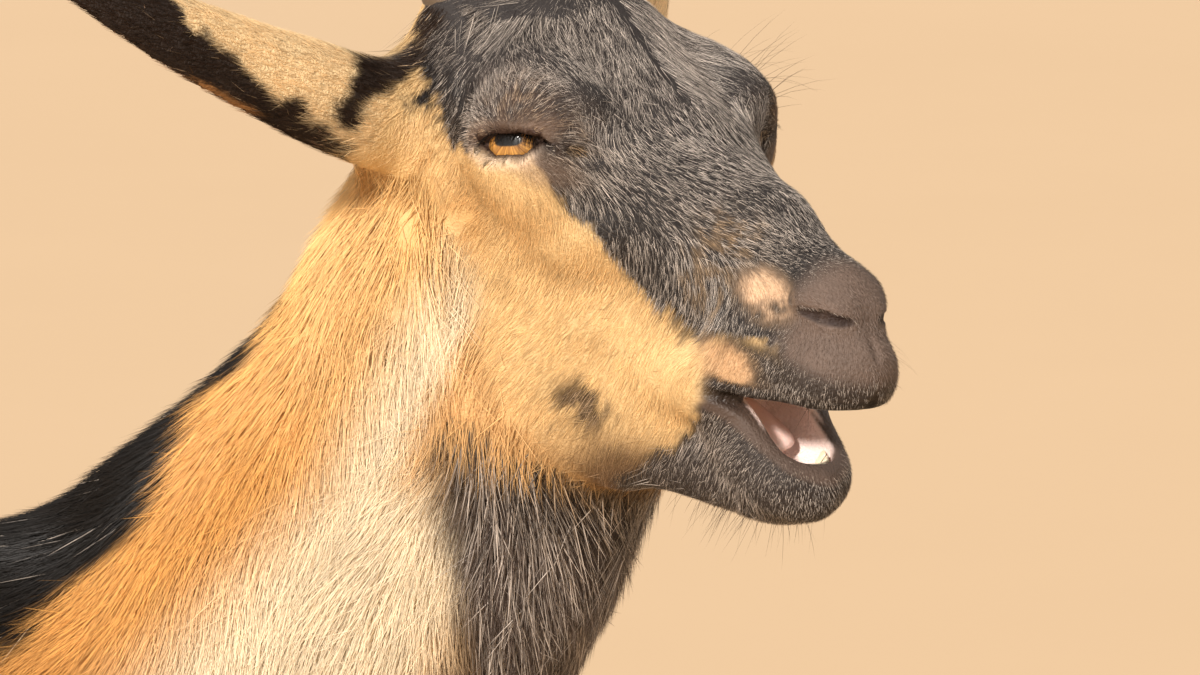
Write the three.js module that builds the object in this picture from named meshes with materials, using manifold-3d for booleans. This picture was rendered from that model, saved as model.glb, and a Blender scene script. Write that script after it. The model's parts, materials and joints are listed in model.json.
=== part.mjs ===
// A standing goat, life size, in millimetres: +X is the way the body faces, +Y its left, +Z up.
// The flesh is one blended shape, made from tapered elliptical limbs, and it is parted into
// nodes by thin cuts. Sizes are to the outside of the coat. The head is turned to the goat's
// right with the mouth open.
import * as THREE from "three";
import { mergeVertices } from "three/addons/utils/BufferGeometryUtils.js";
import Module from "manifold-3d";

// ---- Driving dimensions ----
const WITHERS_HEIGHT = 620; // ground to the top of the shoulders, at x = 0
const RUMP = -562; // the pin bones, behind the withers
const EYE_SPAN = 83; // between the centres of the two eyeballs
const EYE_RADIUS = 13.5;
const HORN_LENGTH = 150;
const EAR_LENGTH = 142;
const HOOF_HEIGHT = 34;
const HOOF_LENGTH = 52;
const CLAW_WIDTH = 21;
const CUT = 0.4; // width of the cut that parts two nodes

const HEAD_PLACE = [249, -20, WITHERS_HEIGHT + 146]; // halfway between the eyes
const HEAD_TURN = -20.9; // degrees to the left, so the head faces to the goat's right
const HEAD_DROP = 18.3; // degrees the line from eye to nostril points down
const HEAD_TILT = -2.2; // degrees the left eye is above the right one

// Grid steps that the flesh is meshed with, along x, y and z.
const HEAD_STEP = [10.5, 10.5, 10.5];
const NECK_STEP = [24, 23, 24];
const TRUNK_STEP = [50, 33, 34];
const TAIL_STEP = [16, 13, 12];
const LEG_STEP = [12, 13, 23];

const wasm = await Module();
wasm.setup();

const vec = (p) => new THREE.Vector3(...p);
const UP = [0, 0, 1];
const WORLD = new THREE.Matrix4();
const headFrame = new THREE.Matrix4().compose(
  vec(HEAD_PLACE),
  new THREE.Quaternion().setFromEuler(
    new THREE.Euler(
      THREE.MathUtils.degToRad(HEAD_TILT),
      THREE.MathUtils.degToRad(HEAD_DROP),
      THREE.MathUtils.degToRad(HEAD_TURN),
      "ZYX",
    ),
  ),
  new THREE.Vector3(1, 1, 1),
);

// ---- Blended flesh ----

// A tapered limb from a to b. Its section is an ellipse, [half width, half height] at each end,
// with the height along up, and each end is rounded over by cap.
function limb(a, b, sizeA, sizeB = sizeA, { up = UP, cap, frame = WORLD } = {}) {
  const start = vec(a).applyMatrix4(frame);
  const run = vec(b).applyMatrix4(frame).sub(start);
  const length = run.length() || 1e-6;
  const along = run.clone().divideScalar(length);
  const side = new THREE.Vector3().crossVectors(vec(up).transformDirection(frame), along).normalize();
  const height = new THREE.Vector3().crossVectors(along, side);
  const round = cap ?? Math.min(...sizeA, ...sizeB);
  const q = new THREE.Vector3();
  return (p) => {
    q.subVectors(p, start);
    const t = Math.min(1, Math.max(0, q.dot(along) / length));
    q.addScaledVector(along, -t * length);
    const w = sizeA[0] + (sizeB[0] - sizeA[0]) * t;
    const h = sizeA[1] + (sizeB[1] - sizeA[1]) * t;
    const s = q.dot(side);
    const v = q.dot(height);
    const e = q.dot(along);
    const near = Math.hypot(s / w, v / h, e / round);
    const slope = Math.hypot(s / (w * w), v / (h * h), e / (round * round));
    return slope < 1e-9 ? -Math.min(w, h) : (near * (near - 1)) / slope;
  };
}

// An egg: a limb so short that only its rounded ends are left. size is [x, y, z] half sizes.
const egg = (centre, size, frame = WORLD) =>
  limb([centre[0] - 0.01, centre[1], centre[2]], [centre[0] + 0.01, centre[1], centre[2]],
    [size[1], size[2]], [size[1], size[2]], { cap: size[0], frame });

// Smooth union of two distances, with a fillet of about k.
function fillet(a, b, k) {
  const h = Math.max(k - Math.abs(a - b), 0) / k;
  return Math.min(a, b) - (h * h * k) / 4;
}
const blend = (k, ...shapes) => (p) => shapes.reduce((d, shape) => fillet(d, shape(p), k), 1e3);
const carve = (k, shape, ...tools) => (p) =>
  tools.reduce((d, tool) => -fillet(-d, tool(p), k), shape(p));

// A shape and its mirror image across the frame's XZ plane.
const pair = (make) => [make(1), make(-1)];

// A chain of limbs through joints: each is { at: [x, y, z], size: [half width, half height] }.
function chain(joints, options) {
  return joints.slice(1).map((joint, i) =>
    limb(joints[i].at, joint.at, joints[i].size, joint.size, options));
}

// ---- The head, in its own frame: x to the nostrils, y left, z up, zero between the eyes ----
function headFlesh() {
  const frame = headFrame;
  const skull = [
    egg([-40, 0, 4], [46, 38, 36], frame), // brain case
    ...pair((s) => limb([-58, s * 24, -22], [-60, s * 37, 3], [25, 20], [15, 17], { frame })), // root of the ear
    limb([-28, 0, 10], [16, 0, 4], [32, 28], [27, 21], { frame }), // forehead
    limb([14, 0, 0], [70, 0, -1], [23, 21], [17, 18], { frame }), // bridge of the nose
    limb([70, 0, -1], [104, 0, -7], [17, 18], [14.5, 13], { frame }),
    limb([4, 0, -34], [84, 0, -22], [28, 38], [18, 20], { frame }), // upper jaw
    ...pair((s) => egg([-3, s * 36, 8], [26, 14, 20], frame)), // orbit and brow
    ...pair((s) => limb([4, s * 30, -8], [66, s * 9, -8], [16, 24], [9, 15], { frame })), // side of the nose
    ...pair((s) => limb([-30, s * 28, -22], [22, s * 26, -20], [13, 15], [11, 13], { frame })), // cheekbone
    ...pair((s) => limb([-30, s * 22, -40], [10, s * 22, -62], [16, 36], [13, 34], { frame })), // chewing muscle
  ];
  const muzzle = [
    egg([110, 0, -4], [14, 15, 10], frame), // nose
    egg([120, 0, -17], [15, 13, 10], frame),
    ...pair((s) => limb([90, s * 10, -22], [120, s * 6, -20], [12, 12], [9, 9], { frame })), // upper lip
  ];
  const jaw = [
    ...pair((s) => limb([-22, s * 20, -68], [48, s * 13, -76], [13, 24], [11, 20], { frame })),
    ...pair((s) => limb([48, s * 13, -76], [100, s * 7, -70], [11, 20], [9, 12], { frame })),
    limb([-10, 0, -68], [88, 0, -70], [21, 25], [13, 15], { frame }), // floor of the mouth
    egg([110, 0, -69], [17, 15, 13], frame), // chin
    ...pair((s) => limb([92, s * 16, -54], [116, s * 9, -61], [6, 9], [6, 7], { frame })), // lower lip
  ];
  const gape = [
    limb([96, 0, -43], [150, 0, -39], [60, 2.5], [60, 14], { cap: 4, frame }),
    limb([82, 0, -45], [116, 0, -45], [11, 8], [10, 12], { frame }), // inside of the mouth
  ];
  return carve(4, blend(10, ...skull, ...muzzle, ...jaw), ...gape);
}

// ---- The body ----
const BACKWARD = [-0.7, 0, 0.7]; // towards the nape, across the line of the neck

function neckFlesh() {
  const options = { up: BACKWARD, cap: 30 };
  return blend(12, ...chain([
    { at: [64, 0, 520], size: [74, 112] },
    { at: [114, -1, 586], size: [60, 90] },
    { at: [166, -4, 644], size: [50, 74] },
    { at: [194, -9, 696], size: [47, 69] },
    { at: [208, -14, 730], size: [44, 62] },
  ], options), limb([-44, 0, -44], [-58, 0, -22], [40, 36], [38, 34], { frame: headFrame }));
}

function trunkFlesh() {
  const barrel = chain([
    { at: [64, 0, 470], size: [70, 112] },
    { at: [-20, 0, 474], size: [88, 128] },
    { at: [-140, 0, 462], size: [112, 140] },
    { at: [-270, 0, 456], size: [126, 143] },
    { at: [-394, 0, 478], size: [108, 126] },
    { at: [-496, 0, 492], size: [80, 93] },
  ], { cap: 60 });
  return blend(34,
    blend(6, ...barrel),
    ...pair((s) => limb([-8, s * 30, 566], [62, s * 62, 450], [22, 42], [32, 52])), // shoulder blade
    ...pair((s) => limb([64, s * 60, 440], [-12, s * 68, 386], [28, 44], [26, 38])), // upper arm
    ...pair((s) => limb([-456, s * 52, 516], [-392, s * 72, 404], [44, 76], [36, 52])), // thigh
    ...pair((s) => limb([-496, s * 52, 480], [-462, s * 68, 376], [36, 58], [28, 40])), // rump
    ...pair((s) => egg([-398, s * 70, 546], [46, 26, 26])), // hip bone
    egg([84, 0, 424], [44, 46, 50]), // brisket
    egg([-440, 0, 368], [46, 36, 34]), // udder
  );
}

// Joints from the body down to the pastern, for the left side: y is mirrored for the right.
// size is [half the width, half the depth].
const FORE_LEG = [
  { at: [-10, 66, 384], size: [27, 40] },
  { at: [-4, 64, 312], size: [21, 29] },
  { at: [3, 62, 224], size: [15.5, 18] },
  { at: [6, 61, 198], size: [18, 20.5] },
  { at: [4, 61, 170], size: [14.5, 16] },
  { at: [2, 60, 104], size: [12.5, 14] },
  { at: [2, 60, 76], size: [16, 18] },
  { at: [14, 60, 24], size: [16, 16] },
];
const HIND_LEG = [
  { at: [-408, 74, 400], size: [33, 52] },
  { at: [-458, 72, 324], size: [22, 35] },
  { at: [-504, 68, 258], size: [14.5, 22] },
  { at: [-522, 66, 228], size: [16, 23] },
  { at: [-518, 65, 194], size: [14, 18.5] },
  { at: [-502, 63, 108], size: [12.5, 14.5] },
  { at: [-500, 62, 80], size: [16, 18] },
  { at: [-484, 62, 24], size: [16, 16] },
];
const DEWCLAW = { back: 16, side: 8, size: [7, 6, 9] }; // two small horny knobs behind the fetlock

function legFlesh(joints, s) {
  const mirrored = joints.map(({ at: [x, y, z], size }) => ({ at: [x, s * y, z], size }));
  const [x, y, z] = mirrored[mirrored.length - 2].at;
  return blend(5,
    ...chain(mirrored, { up: [1, 0, 0] }),
    ...pair((k) => egg([x - DEWCLAW.back, y + k * DEWCLAW.side, z - 8], DEWCLAW.size)),
  );
}

const tailFlesh = () => blend(8, ...chain([
  { at: [RUMP + 34, 0, 570], size: [24, 20] },
  { at: [RUMP + 4, 0, 580], size: [23, 17] },
  { at: [RUMP - 34, 0, 606], size: [26, 15] },
  { at: [RUMP - 66, 0, 636], size: [17, 11] },
]));

const trunk = blend(44, trunkFlesh(), neckFlesh());
const withHead = blend(20, trunk, headFlesh());
const legs = [
  ["leg_front_left", FORE_LEG, 1],
  ["leg_front_right", FORE_LEG, -1],
  ["leg_hind_left", HIND_LEG, 1],
  ["leg_hind_right", HIND_LEG, -1],
].map(([name, joints, side]) => ({ name, joints, side, flesh: legFlesh(joints, side) }));
const body = blend(20, withHead, tailFlesh(), ...legs.map((leg) => leg.flesh));

// ---- From a blended shape to a closed mesh ----
// A grid cell's corners are numbered by their bits: 1 is a step along x, 2 along y and 4 along z.
const AXES = [[1, 0, 0], [0, 1, 0], [0, 0, 1]];
const CORNERS = [...Array(8).keys()].map((c) => [c & 1, (c >> 1) & 1, c >> 2]);
const EDGES = AXES.flatMap((_, axis) =>
  [...Array(8).keys()].filter((c) => !(c & (1 << axis))).map((c) => [c, c | (1 << axis)]));
const edgeOf = (a, b) => EDGES.findIndex(([c, d]) => (c === a && d === b) || (c === b && d === a));
// Each face of the cell as its four corners in a ring, with the four edges between them.
const SIDES = AXES.flatMap((_, axis) => [0, 1].map((far) => {
  const [u, v] = [1 << ((axis + 1) % 3), 1 << ((axis + 2) % 3)];
  const ring = [0, u, u | v, v].map((c) => c | (far << axis));
  return { ring, edges: ring.map((c, i) => edgeOf(c, ring[(i + 1) % 4])) };
}));

// Groups a cell's crossed edges into the separate sheets of surface that pass through it.
function sheets(inside) {
  const group = EDGES.map(([a, b], e) => (inside[a] === inside[b] ? -1 : e));
  const join = (e, f) => {
    const [keep, drop] = [group[e], group[f]];
    group.forEach((g, i) => {
      if (g === drop) group[i] = keep;
    });
  };
  for (const { ring, edges } of SIDES) {
    const crossed = edges.filter((e) => group[e] >= 0);
    if (crossed.length === 2) join(...crossed);
    if (crossed.length === 4)
      ring.forEach((c, i) => {
        if (inside[c]) join(edges[i], edges[(i + 3) % 4]);
      });
  }
  return group;
}

// Meshes shape inside the box from low to high, which lie in frame: one point for each sheet in
// a grid cell, drawn onto the surface, and one quad for each grid edge that the surface crosses.
// The whole surface can then be grown outwards.
function mesh(shape, low, high, step, frame = WORLD, grow = 0) {
  const count = low.map((l, i) => Math.ceil((high[i] - l) / step[i]) + 1);
  const reach = Math.max(...step);
  const index = (i, j, k) => i + count[0] * (j + count[1] * k);
  const place = (cell, out) =>
    out.set(...cell.map((n, i) => low[i] + n * step[i])).applyMatrix4(frame);
  const value = new Float32Array(count[0] * count[1] * count[2]).fill(reach);
  const each = (from, visit) => {
    for (let k = from; k < count[2] - 1; k++)
      for (let j = from; j < count[1] - 1; j++)
        for (let i = from; i < count[0] - 1; i++) visit([i, j, k]);
  };
  const p = new THREE.Vector3();
  each(1, (cell) => {
    value[index(...cell)] = shape(place(cell, p));
  });
  const pointOf = new Map();
  const points = [];
  each(0, (cell) => {
    const corner = CORNERS.map((c) => cell.map((n, i) => n + c[i]));
    const at = corner.map((c) => value[index(...c)]);
    const group = sheets(at.map((d) => d < 0));
    for (const g of new Set(group.filter((x) => x >= 0))) {
      const edges = group.flatMap((x, e) => (x === g ? [e] : []));
      const sum = new THREE.Vector3();
      for (const e of edges) {
        const [a, b] = EDGES[e];
        const t = at[a] / (at[a] - at[b]);
        sum.add(place(corner[a].map((x, n) => x + (corner[b][n] - x) * t), p));
        pointOf.set(index(...cell) * EDGES.length + e, points.length);
      }
      const point = drawOn(shape, sum.divideScalar(edges.length), reach);
      points.push(point.addScaledVector(slopeAt(shape, point).normalize(), grow));
    }
  });
  const faces = [];
  each(0, (cell) => {
    for (let axis = 0; axis < 3; axis++) {
      const inside = value[index(...cell)] < 0;
      const next = value[index(...cell.map((n, i) => n + AXES[axis][i]))] < 0;
      if (inside === next) continue;
      const [u, v] = [(axis + 1) % 3, (axis + 2) % 3];
      const quad = [[1, 1], [0, 1], [0, 0], [1, 0]].map(([a, b]) => {
        const corner = (a << u) | (b << v);
        const back = cell.map((n, i) => n - (i === u ? a : 0) - (i === v ? b : 0));
        return pointOf.get(index(...back) * EDGES.length + edgeOf(corner, corner | (1 << axis)));
      });
      if (!inside) quad.reverse();
      const [a, b, c, d] = quad;
      const short = points[a].distanceTo(points[c]) < points[b].distanceTo(points[d]);
      faces.push(...(short ? [a, b, c, a, c, d] : [a, b, d, b, c, d]));
    }
  });
  return solidOf(points.flatMap((q) => q.toArray()), faces);
}

// The way that shape's distance grows fastest, and how fast.
function slopeAt(shape, point) {
  const here = shape(point);
  const q = new THREE.Vector3();
  return new THREE.Vector3(...["x", "y", "z"].map((axis) => {
    q.copy(point)[axis] += 0.5;
    return (shape(q) - here) / 0.5;
  }));
}

// Moves a point onto the surface of shape, by at most half a grid step.
function drawOn(shape, point, step) {
  const start = point.clone();
  for (let turn = 0; turn < 3; turn++) {
    const d = shape(point);
    if (Math.abs(d) > step) return start;
    const slope = slopeAt(shape, point);
    point.addScaledVector(slope, -d / Math.max(slope.lengthSq(), 0.1));
  }
  return start.add(point.sub(start).clampLength(0, step / 2));
}

function solidOf(positions, faces) {
  return new wasm.Manifold(new wasm.Mesh({
    numProp: 3,
    vertProperties: new Float32Array(positions),
    triVerts: new Uint32Array(faces),
  }));
}

// A three.js geometry, placed by a matrix, as a solid.
function solid(geometry, matrix = WORLD) {
  const bare = geometry.clone().applyMatrix4(matrix);
  for (const name of ["normal", "uv"]) bare.deleteAttribute(name);
  const merged = mergeVertices(bare, 1e-3);
  return solidOf(merged.attributes.position.array, merged.index.array);
}

// A box from low to high in frame, grown by extra on every side.
function block(low, high, frame = WORLD, extra = 0) {
  const size = high.map((h, i) => h - low[i] + 2 * extra);
  const centre = high.map((h, i) => (h + low[i]) / 2);
  const place = frame.clone().multiply(new THREE.Matrix4().makeTranslation(...centre));
  return solid(new THREE.BoxGeometry(...size), place);
}

// The largest of the pieces that a cut leaves, so that no crumb stays with it.
function largest(made) {
  return made.decompose().sort((a, b) => b.volume() - a.volume())[0];
}

// The same solid on the other side of the XZ plane.
function mirrored(made) {
  const { vertProperties, triVerts } = made.getMesh();
  return solidOf(vertProperties.map((v, i) => (i % 3 === 1 ? -v : v)), triVerts.slice().reverse());
}

// A closed skin over rings of equally many points, with a fan on the first and last ring.
function loft(rings) {
  const sides = rings[0].length;
  const positions = rings.flat().flatMap((p) => p.toArray());
  const faces = [];
  for (let r = 0; r + 1 < rings.length; r++)
    for (let s = 0; s < sides; s++) {
      const a = r * sides + s;
      const b = r * sides + ((s + 1) % sides);
      faces.push(a, b, b + sides, a, b + sides, a + sides);
    }
  for (const [r, flip] of [[0, true], [rings.length - 1, false]]) {
    const middle = rings[r].reduce((sum, p) => sum.add(p), new THREE.Vector3()).divideScalar(sides);
    positions.push(...middle.toArray());
    const hub = positions.length / 3 - 1;
    for (let s = 0; s < sides; s++) {
      const pairOf = [r * sides + s, r * sides + ((s + 1) % sides)];
      if (flip) pairOf.reverse();
      faces.push(...pairOf, hub);
    }
  }
  const made = solidOf(positions, faces);
  return made.volume() > 0 ? made : solidOf(positions, faces.reverse());
}

// ---- The flesh, cut into nodes ----
// What the head and the neck are meshed in: the head's box lies in its own frame.
const HEAD_BOX = [[-150, -80, -190], [165, 80, 90]];
const NECK_BOX = [[-90, -140, 360], [330, 140, 900]];
const FAR = 900;
// A frame at a point of another, turned about its Y axis so that X points up by angle degrees.
const tilted = (base, at, angle) => base.clone()
  .multiply(new THREE.Matrix4().makeTranslation(...at))
  .multiply(new THREE.Matrix4().makeRotationY(-THREE.MathUtils.degToRad(angle)));
// Behind the ears and the corner of the jaw: the neck begins where this block of the head ends.
const napeFrame = tilted(headFrame, [-88, 0, 4], 44);
const headBlock = (extra) => block([0, -150, -230], [300, 150, 200], napeFrame, extra);
// Below the line of the mouth, in front of the chewing muscle.
const jawFrame = tilted(headFrame, [8, 0, -57], 7);
const jawBlock = (extra) => block([0, -80, -90], [220, 80, 0], jawFrame, extra);
// The root of the neck: a slanting cut from the withers to the brisket.
const chestFrame = tilted(WORLD, [56, 0, 560], 44);
const frontBlock = (extra) => block([0, -200, -400], [FAR, 200, FAR], chestFrame, extra);
const tailBlock = (extra) => block([-800, -60, 544], [RUMP + 14, 60, 800], WORLD, extra);
// The top of a leg: level at the elbow, and falling forwards at the stifle.
const LEG_TOPS = {
  front: { frame: tilted(WORLD, [-10, 0, 354], 0), back: -50, front: 74 },
  hind: { frame: tilted(WORLD, [-422, 0, 356], -26), back: RUMP - 60, front: -346 },
};
const LEG_INNER = 22; // the legs begin this far out from the middle
const legBlock = ({ name, side }, extra) => {
  const top = LEG_TOPS[name.split("_")[1]];
  const [near, far] = side > 0 ? [LEG_INNER, 200] : [-200, -LEG_INNER];
  const below = block([-FAR, near, -FAR], [FAR, far, 0], top.frame, extra);
  return below.intersect(block([top.back, -FAR, -FAR], [top.front, FAR, FAR], WORLD, extra));
};

function fleshNodes() {
  const head = mesh(body, ...HEAD_BOX, HEAD_STEP, headFrame);
  const neck = mesh(body, ...NECK_BOX, NECK_STEP);
  const barrel = mesh(body, [-760, -200, 200], [260, 200, 760], TRUNK_STEP);
  const tail = mesh(body, [RUMP - 130, -60, 490], [RUMP + 60, 60, 690], TAIL_STEP);
  const eyes = pair((s) => eyeBall(s, CUT));
  const skull = eyes.reduce((made, eye) => made.subtract(eye), head.intersect(headBlock(0)));
  const nodes = {
    head: largest(skull.subtract(jawBlock(CUT))),
    jaw: largest(skull.intersect(jawBlock(0))),
    neck: largest(neck.intersect(frontBlock(0)).subtract(headBlock(CUT))),
    tail: largest(tail.intersect(tailBlock(0))),
  };
  let rest = barrel.subtract(frontBlock(CUT)).subtract(tailBlock(CUT));
  const floor = block([-FAR, -200, -30], [FAR, 200, HOOF_HEIGHT + CUT]);
  for (const leg of legs) {
    rest = rest.subtract(legBlock(leg, CUT));
    if (leg.side < 0) continue;
    const [x, y] = leg.joints[0].at;
    const part = mesh(body, [x - 206, y - 70, -24], [x + 110, y + 70, 440], LEG_STEP);
    const left = largest(part.intersect(legBlock(leg, 0)).subtract(floor));
    nodes[leg.name] = left;
    nodes[leg.name.replace("left", "right")] = mirrored(left);
  }
  nodes.trunk = largest(rest);
  return nodes;
}

// ---- Eyes, ears, horns, tongue and teeth ----
function eyeBall(s, extra = 0) {
  const centre = new THREE.Matrix4().makeTranslation(0, (s * EYE_SPAN) / 2, -1);
  const round = new THREE.SphereGeometry(EYE_RADIUS + extra, 12, 9);
  return solid(round, headFrame.clone().multiply(centre));
}

// A curve from at, leaving along out and bending towards lean, length long.
function sweep(at, out, lean, length, steps) {
  const start = vec(at);
  const first = vec(out).normalize();
  const last = vec(lean).normalize();
  const points = [start];
  for (let i = 0; i < steps; i++) {
    const way = first.clone().lerp(last, (i + 0.5) / steps).normalize();
    points.push(points[i].clone().addScaledVector(way, length / steps));
  }
  return new THREE.CatmullRomCurve3(points);
}

const HORN_STEPS = 8;
const HORN_SIDES = 8;
function horn(s) {
  const line = sweep([-58, s * 23, 15], [-0.62, s * 0.34, 0.7], [-0.86, s * 0.62, 0.1], HORN_LENGTH, HORN_STEPS);
  const rings = [];
  for (let i = 0; i <= HORN_STEPS; i++) {
    const t = i / HORN_STEPS;
    const along = line.getTangentAt(t);
    const side = new THREE.Vector3(0, 1, 0).cross(along).normalize();
    const out = new THREE.Vector3().crossVectors(along, side);
    const girth = 1.5 + 12 * (1 - t) ** 0.75;
    rings.push([...Array(HORN_SIDES).keys()].map((k) => {
      const a = (2 * Math.PI * k) / HORN_SIDES;
      return line.getPointAt(t)
        .addScaledVector(side, 1.15 * girth * Math.cos(a))
        .addScaledVector(out, 0.85 * girth * Math.sin(a));
    }));
  }
  return loft(rings.map((ring) => ring.map((p) => p.applyMatrix4(headFrame))));
}

const EAR_STEPS = 9;
const EAR_SIDES = 6; // points along the inside, and as many along the outside
const EAR_THICK = 5;
const EAR_ROOT = 22; // how far the ear reaches into the head
// The right ear is held out level and the left one is laid back.
const EARS = {
  right: { root: [-51, -22, -16], out: [-0.1, -1, 0.24], tip: [-0.34, -0.92, 0.32], back: [0.5, 0, 0.86] },
  left: { root: [-47, 24, -13], out: [-0.6, 0.75, 0.3], tip: [-0.86, 0.46, 0.3], back: [-0.1, 0.55, 0.83] },
};
// The ear is a rolled leaf: its back is towards the top and front, its hollow looks down and back.
function ear(name, s) {
  const { root, out: first, tip, back: facing } = EARS[name];
  const line = sweep(root, first, tip, EAR_LENGTH + EAR_ROOT, EAR_STEPS);
  const back = vec(facing).normalize();
  const rings = [];
  for (let i = 0; i <= EAR_STEPS; i++) {
    const t = i / EAR_STEPS;
    const along = line.getTangentAt(t);
    const out = back.clone().addScaledVector(along, -back.dot(along)).normalize();
    const side = new THREE.Vector3().crossVectors(out, along).multiplyScalar(s);
    const width = earWidth(t);
    const roll = 2.2 - 1.2 * t; // half angle of the roll, wide open towards the tip
    const radius = width / Math.min(1.6, roll);
    const thick = Math.min(EAR_THICK, radius * 0.6) * (1 - 0.5 * t);
    const arc = (r, k) => {
      const a = roll * ((2 * k) / (EAR_SIDES - 1) - 1);
      return line.getPointAt(t)
        .addScaledVector(side, r * Math.sin(a))
        .addScaledVector(out, r * Math.cos(a) - radius * 0.6);
    };
    const outer = [...Array(EAR_SIDES).keys()].map((k) => arc(radius, k));
    const inner = [...Array(EAR_SIDES).keys()].reverse().map((k) => arc(radius - thick, k));
    rings.push([...outer, ...inner]);
  }
  return loft(rings.map((ring) => ring.map((p) => p.applyMatrix4(headFrame))));
}

// Half the width of the ear across its roll: a narrow root, widest a third out, then a blunt tip.
function earWidth(t) {
  const leaf = Math.sin(Math.PI * Math.min(1, 0.2 + 0.8 * t) ** 0.8);
  return 5 + 27 * leaf ** 0.7 * (1 - 0.12 * t);
}

const tongueFlesh = blend(6,
  limb([70, 0, -56], [96, 0, -55], [10, 7], [9, 6], { frame: headFrame }),
  limb([96, 0, -55], [105, 0, -57], [9, 5], [6, 3.5], { frame: headFrame }),
);

// Four pairs of lower front teeth, set round the inside of the lower lip.
const TOOTH = { width: 5, deep: 3, tall: 13 };
function teeth() {
  const made = [];
  for (let i = -3.5; i <= 3.5; i++) {
    const a = i * 0.32;
    const place = headFrame.clone()
      .multiply(new THREE.Matrix4().makeTranslation(103 + 14 * Math.cos(a), 10 * Math.sin(a), -57))
      .multiply(new THREE.Matrix4().makeRotationZ(a))
      .multiply(new THREE.Matrix4().makeRotationY(0.35));
    made.push(solid(new THREE.BoxGeometry(TOOTH.deep, TOOTH.width - 0.6, TOOTH.tall), place));
  }
  return made;
}

// ---- Hooves: two claws to a foot, flat underneath ----
const CLAW_SIDES = 10;
function claw(x, y) {
  const rings = [0, 0.12, 0.5, 1].map((t) => {
    const grow = t === 0 ? 0.93 : 1;
    const half = (HOOF_LENGTH / 2) * grow * (1 - 0.28 * t);
    const wide = (CLAW_WIDTH / 2) * grow * (1 - 0.12 * t);
    return [...Array(CLAW_SIDES).keys()].map((k) => {
      const a = (2 * Math.PI * k) / CLAW_SIDES;
      const toe = Math.cos(a) > 0 ? Math.cos(a) : 0.86 * Math.cos(a);
      return new THREE.Vector3(
        x + half * toe - 9 * t,
        y + wide * Math.sin(a) * (1 - 0.3 * Math.max(0, Math.cos(a))),
        HOOF_HEIGHT * t,
      );
    });
  });
  return loft(rings);
}

// ---- The scene ----
const LOOKS = {
  tan: { color: 0xc98f4e, roughness: 0.85, metalness: 0 },
  black: { color: 0x2a2523, roughness: 0.8, metalness: 0 },
  iris: { color: 0xb9772b, roughness: 0.1, metalness: 0 },
  horn: { color: 0x6b5a48, roughness: 0.5, metalness: 0 },
  hoof: { color: 0x2e2823, roughness: 0.45, metalness: 0 },
  tongue: { color: 0xd08d86, roughness: 0.35, metalness: 0 },
};

function node(name, made, look, group) {
  const { vertProperties, triVerts } = made.getMesh();
  const geometry = new THREE.BufferGeometry()
    .setAttribute("position", new THREE.BufferAttribute(new Float32Array(vertProperties), 3))
    .setIndex(new THREE.BufferAttribute(new Uint32Array(triVerts), 1));
  group.updateMatrixWorld(true);
  geometry.applyMatrix4(group.matrixWorld.clone().invert());
  geometry.computeVertexNormals();
  const part = new THREE.Mesh(geometry, new THREE.MeshStandardMaterial(LOOKS[look]));
  part.name = name;
  group.add(part);
  return part;
}

const goat = new THREE.Group();
const headGroup = new THREE.Group();
headFrame.decompose(headGroup.position, headGroup.quaternion, headGroup.scale);
goat.add(headGroup);

const flesh = fleshNodes();
const headGrown = mesh(body, ...HEAD_BOX, HEAD_STEP, headFrame, 2 * CUT);
const neckGrown = mesh(body, ...NECK_BOX, NECK_STEP, WORLD, 2 * CUT);
const cleared = (made) => largest(made.subtract(headGrown).subtract(neckGrown.subtract(headBlock(0))));
node("neck", flesh.neck, "tan", goat);
node("trunk", flesh.trunk, "tan", goat);
node("tail", flesh.tail, "black", goat);
for (const { name, joints, side } of legs) {
  node(name, flesh[name], "black", goat);
  const [x, y] = joints[joints.length - 1].at;
  for (const [place, step] of [["outer", 1], ["inner", -1]]) {
    const across = side * y + side * step * (CLAW_WIDTH / 2 + 0.7);
    node(`hoof_${name.slice(4)}_${place}`, claw(x + 4, across), "hoof", goat);
  }
}
node("head", flesh.head, "black", headGroup);
node("jaw", largest(flesh.jaw.add(teeth().reduce((a, b) => a.add(b)))), "black", headGroup);
const tongue = mesh(tongueFlesh, [50, -20, -75], [140, 20, -40], [9, 6, 5], headFrame);
node("tongue", cleared(tongue), "tongue", headGroup);
for (const [side, s] of [["left", 1], ["right", -1]]) {
  node(`eye_${side}`, eyeBall(s), "iris", headGroup);
  node(`ear_${side}`, cleared(ear(side, s)), "tan", headGroup);
  node(`horn_${side}`, cleared(horn(s)), "horn", headGroup);
}

// The origin is under the middle of the goat's box, at the level of the soles.
const box = new THREE.Box3().setFromObject(goat, true);
const middle = box.getCenter(new THREE.Vector3());
goat.position.set(-middle.x, -middle.y, -box.min.z);

export default goat;
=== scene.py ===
"""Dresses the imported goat: one skin with folds and lids, a coat, eyes, teeth, horns and hooves.

Lengths in the head and the body are worked out in millimetres, in two frames of the animal's own.
The head's frame has x towards the nostrils, y to the left and z up, with zero between the eyes.
The body's frame has x forwards, y to the left and z up, with zero on the ground under the withers.
"""

import json
import logging
import math
from dataclasses import dataclass, field, replace
from enum import Enum
from functools import partial
from typing import Callable, Sequence

import bmesh
import bpy
import numpy as np
from mathutils import Euler, Matrix, Vector
from mathutils.bvhtree import BVHTree

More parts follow.
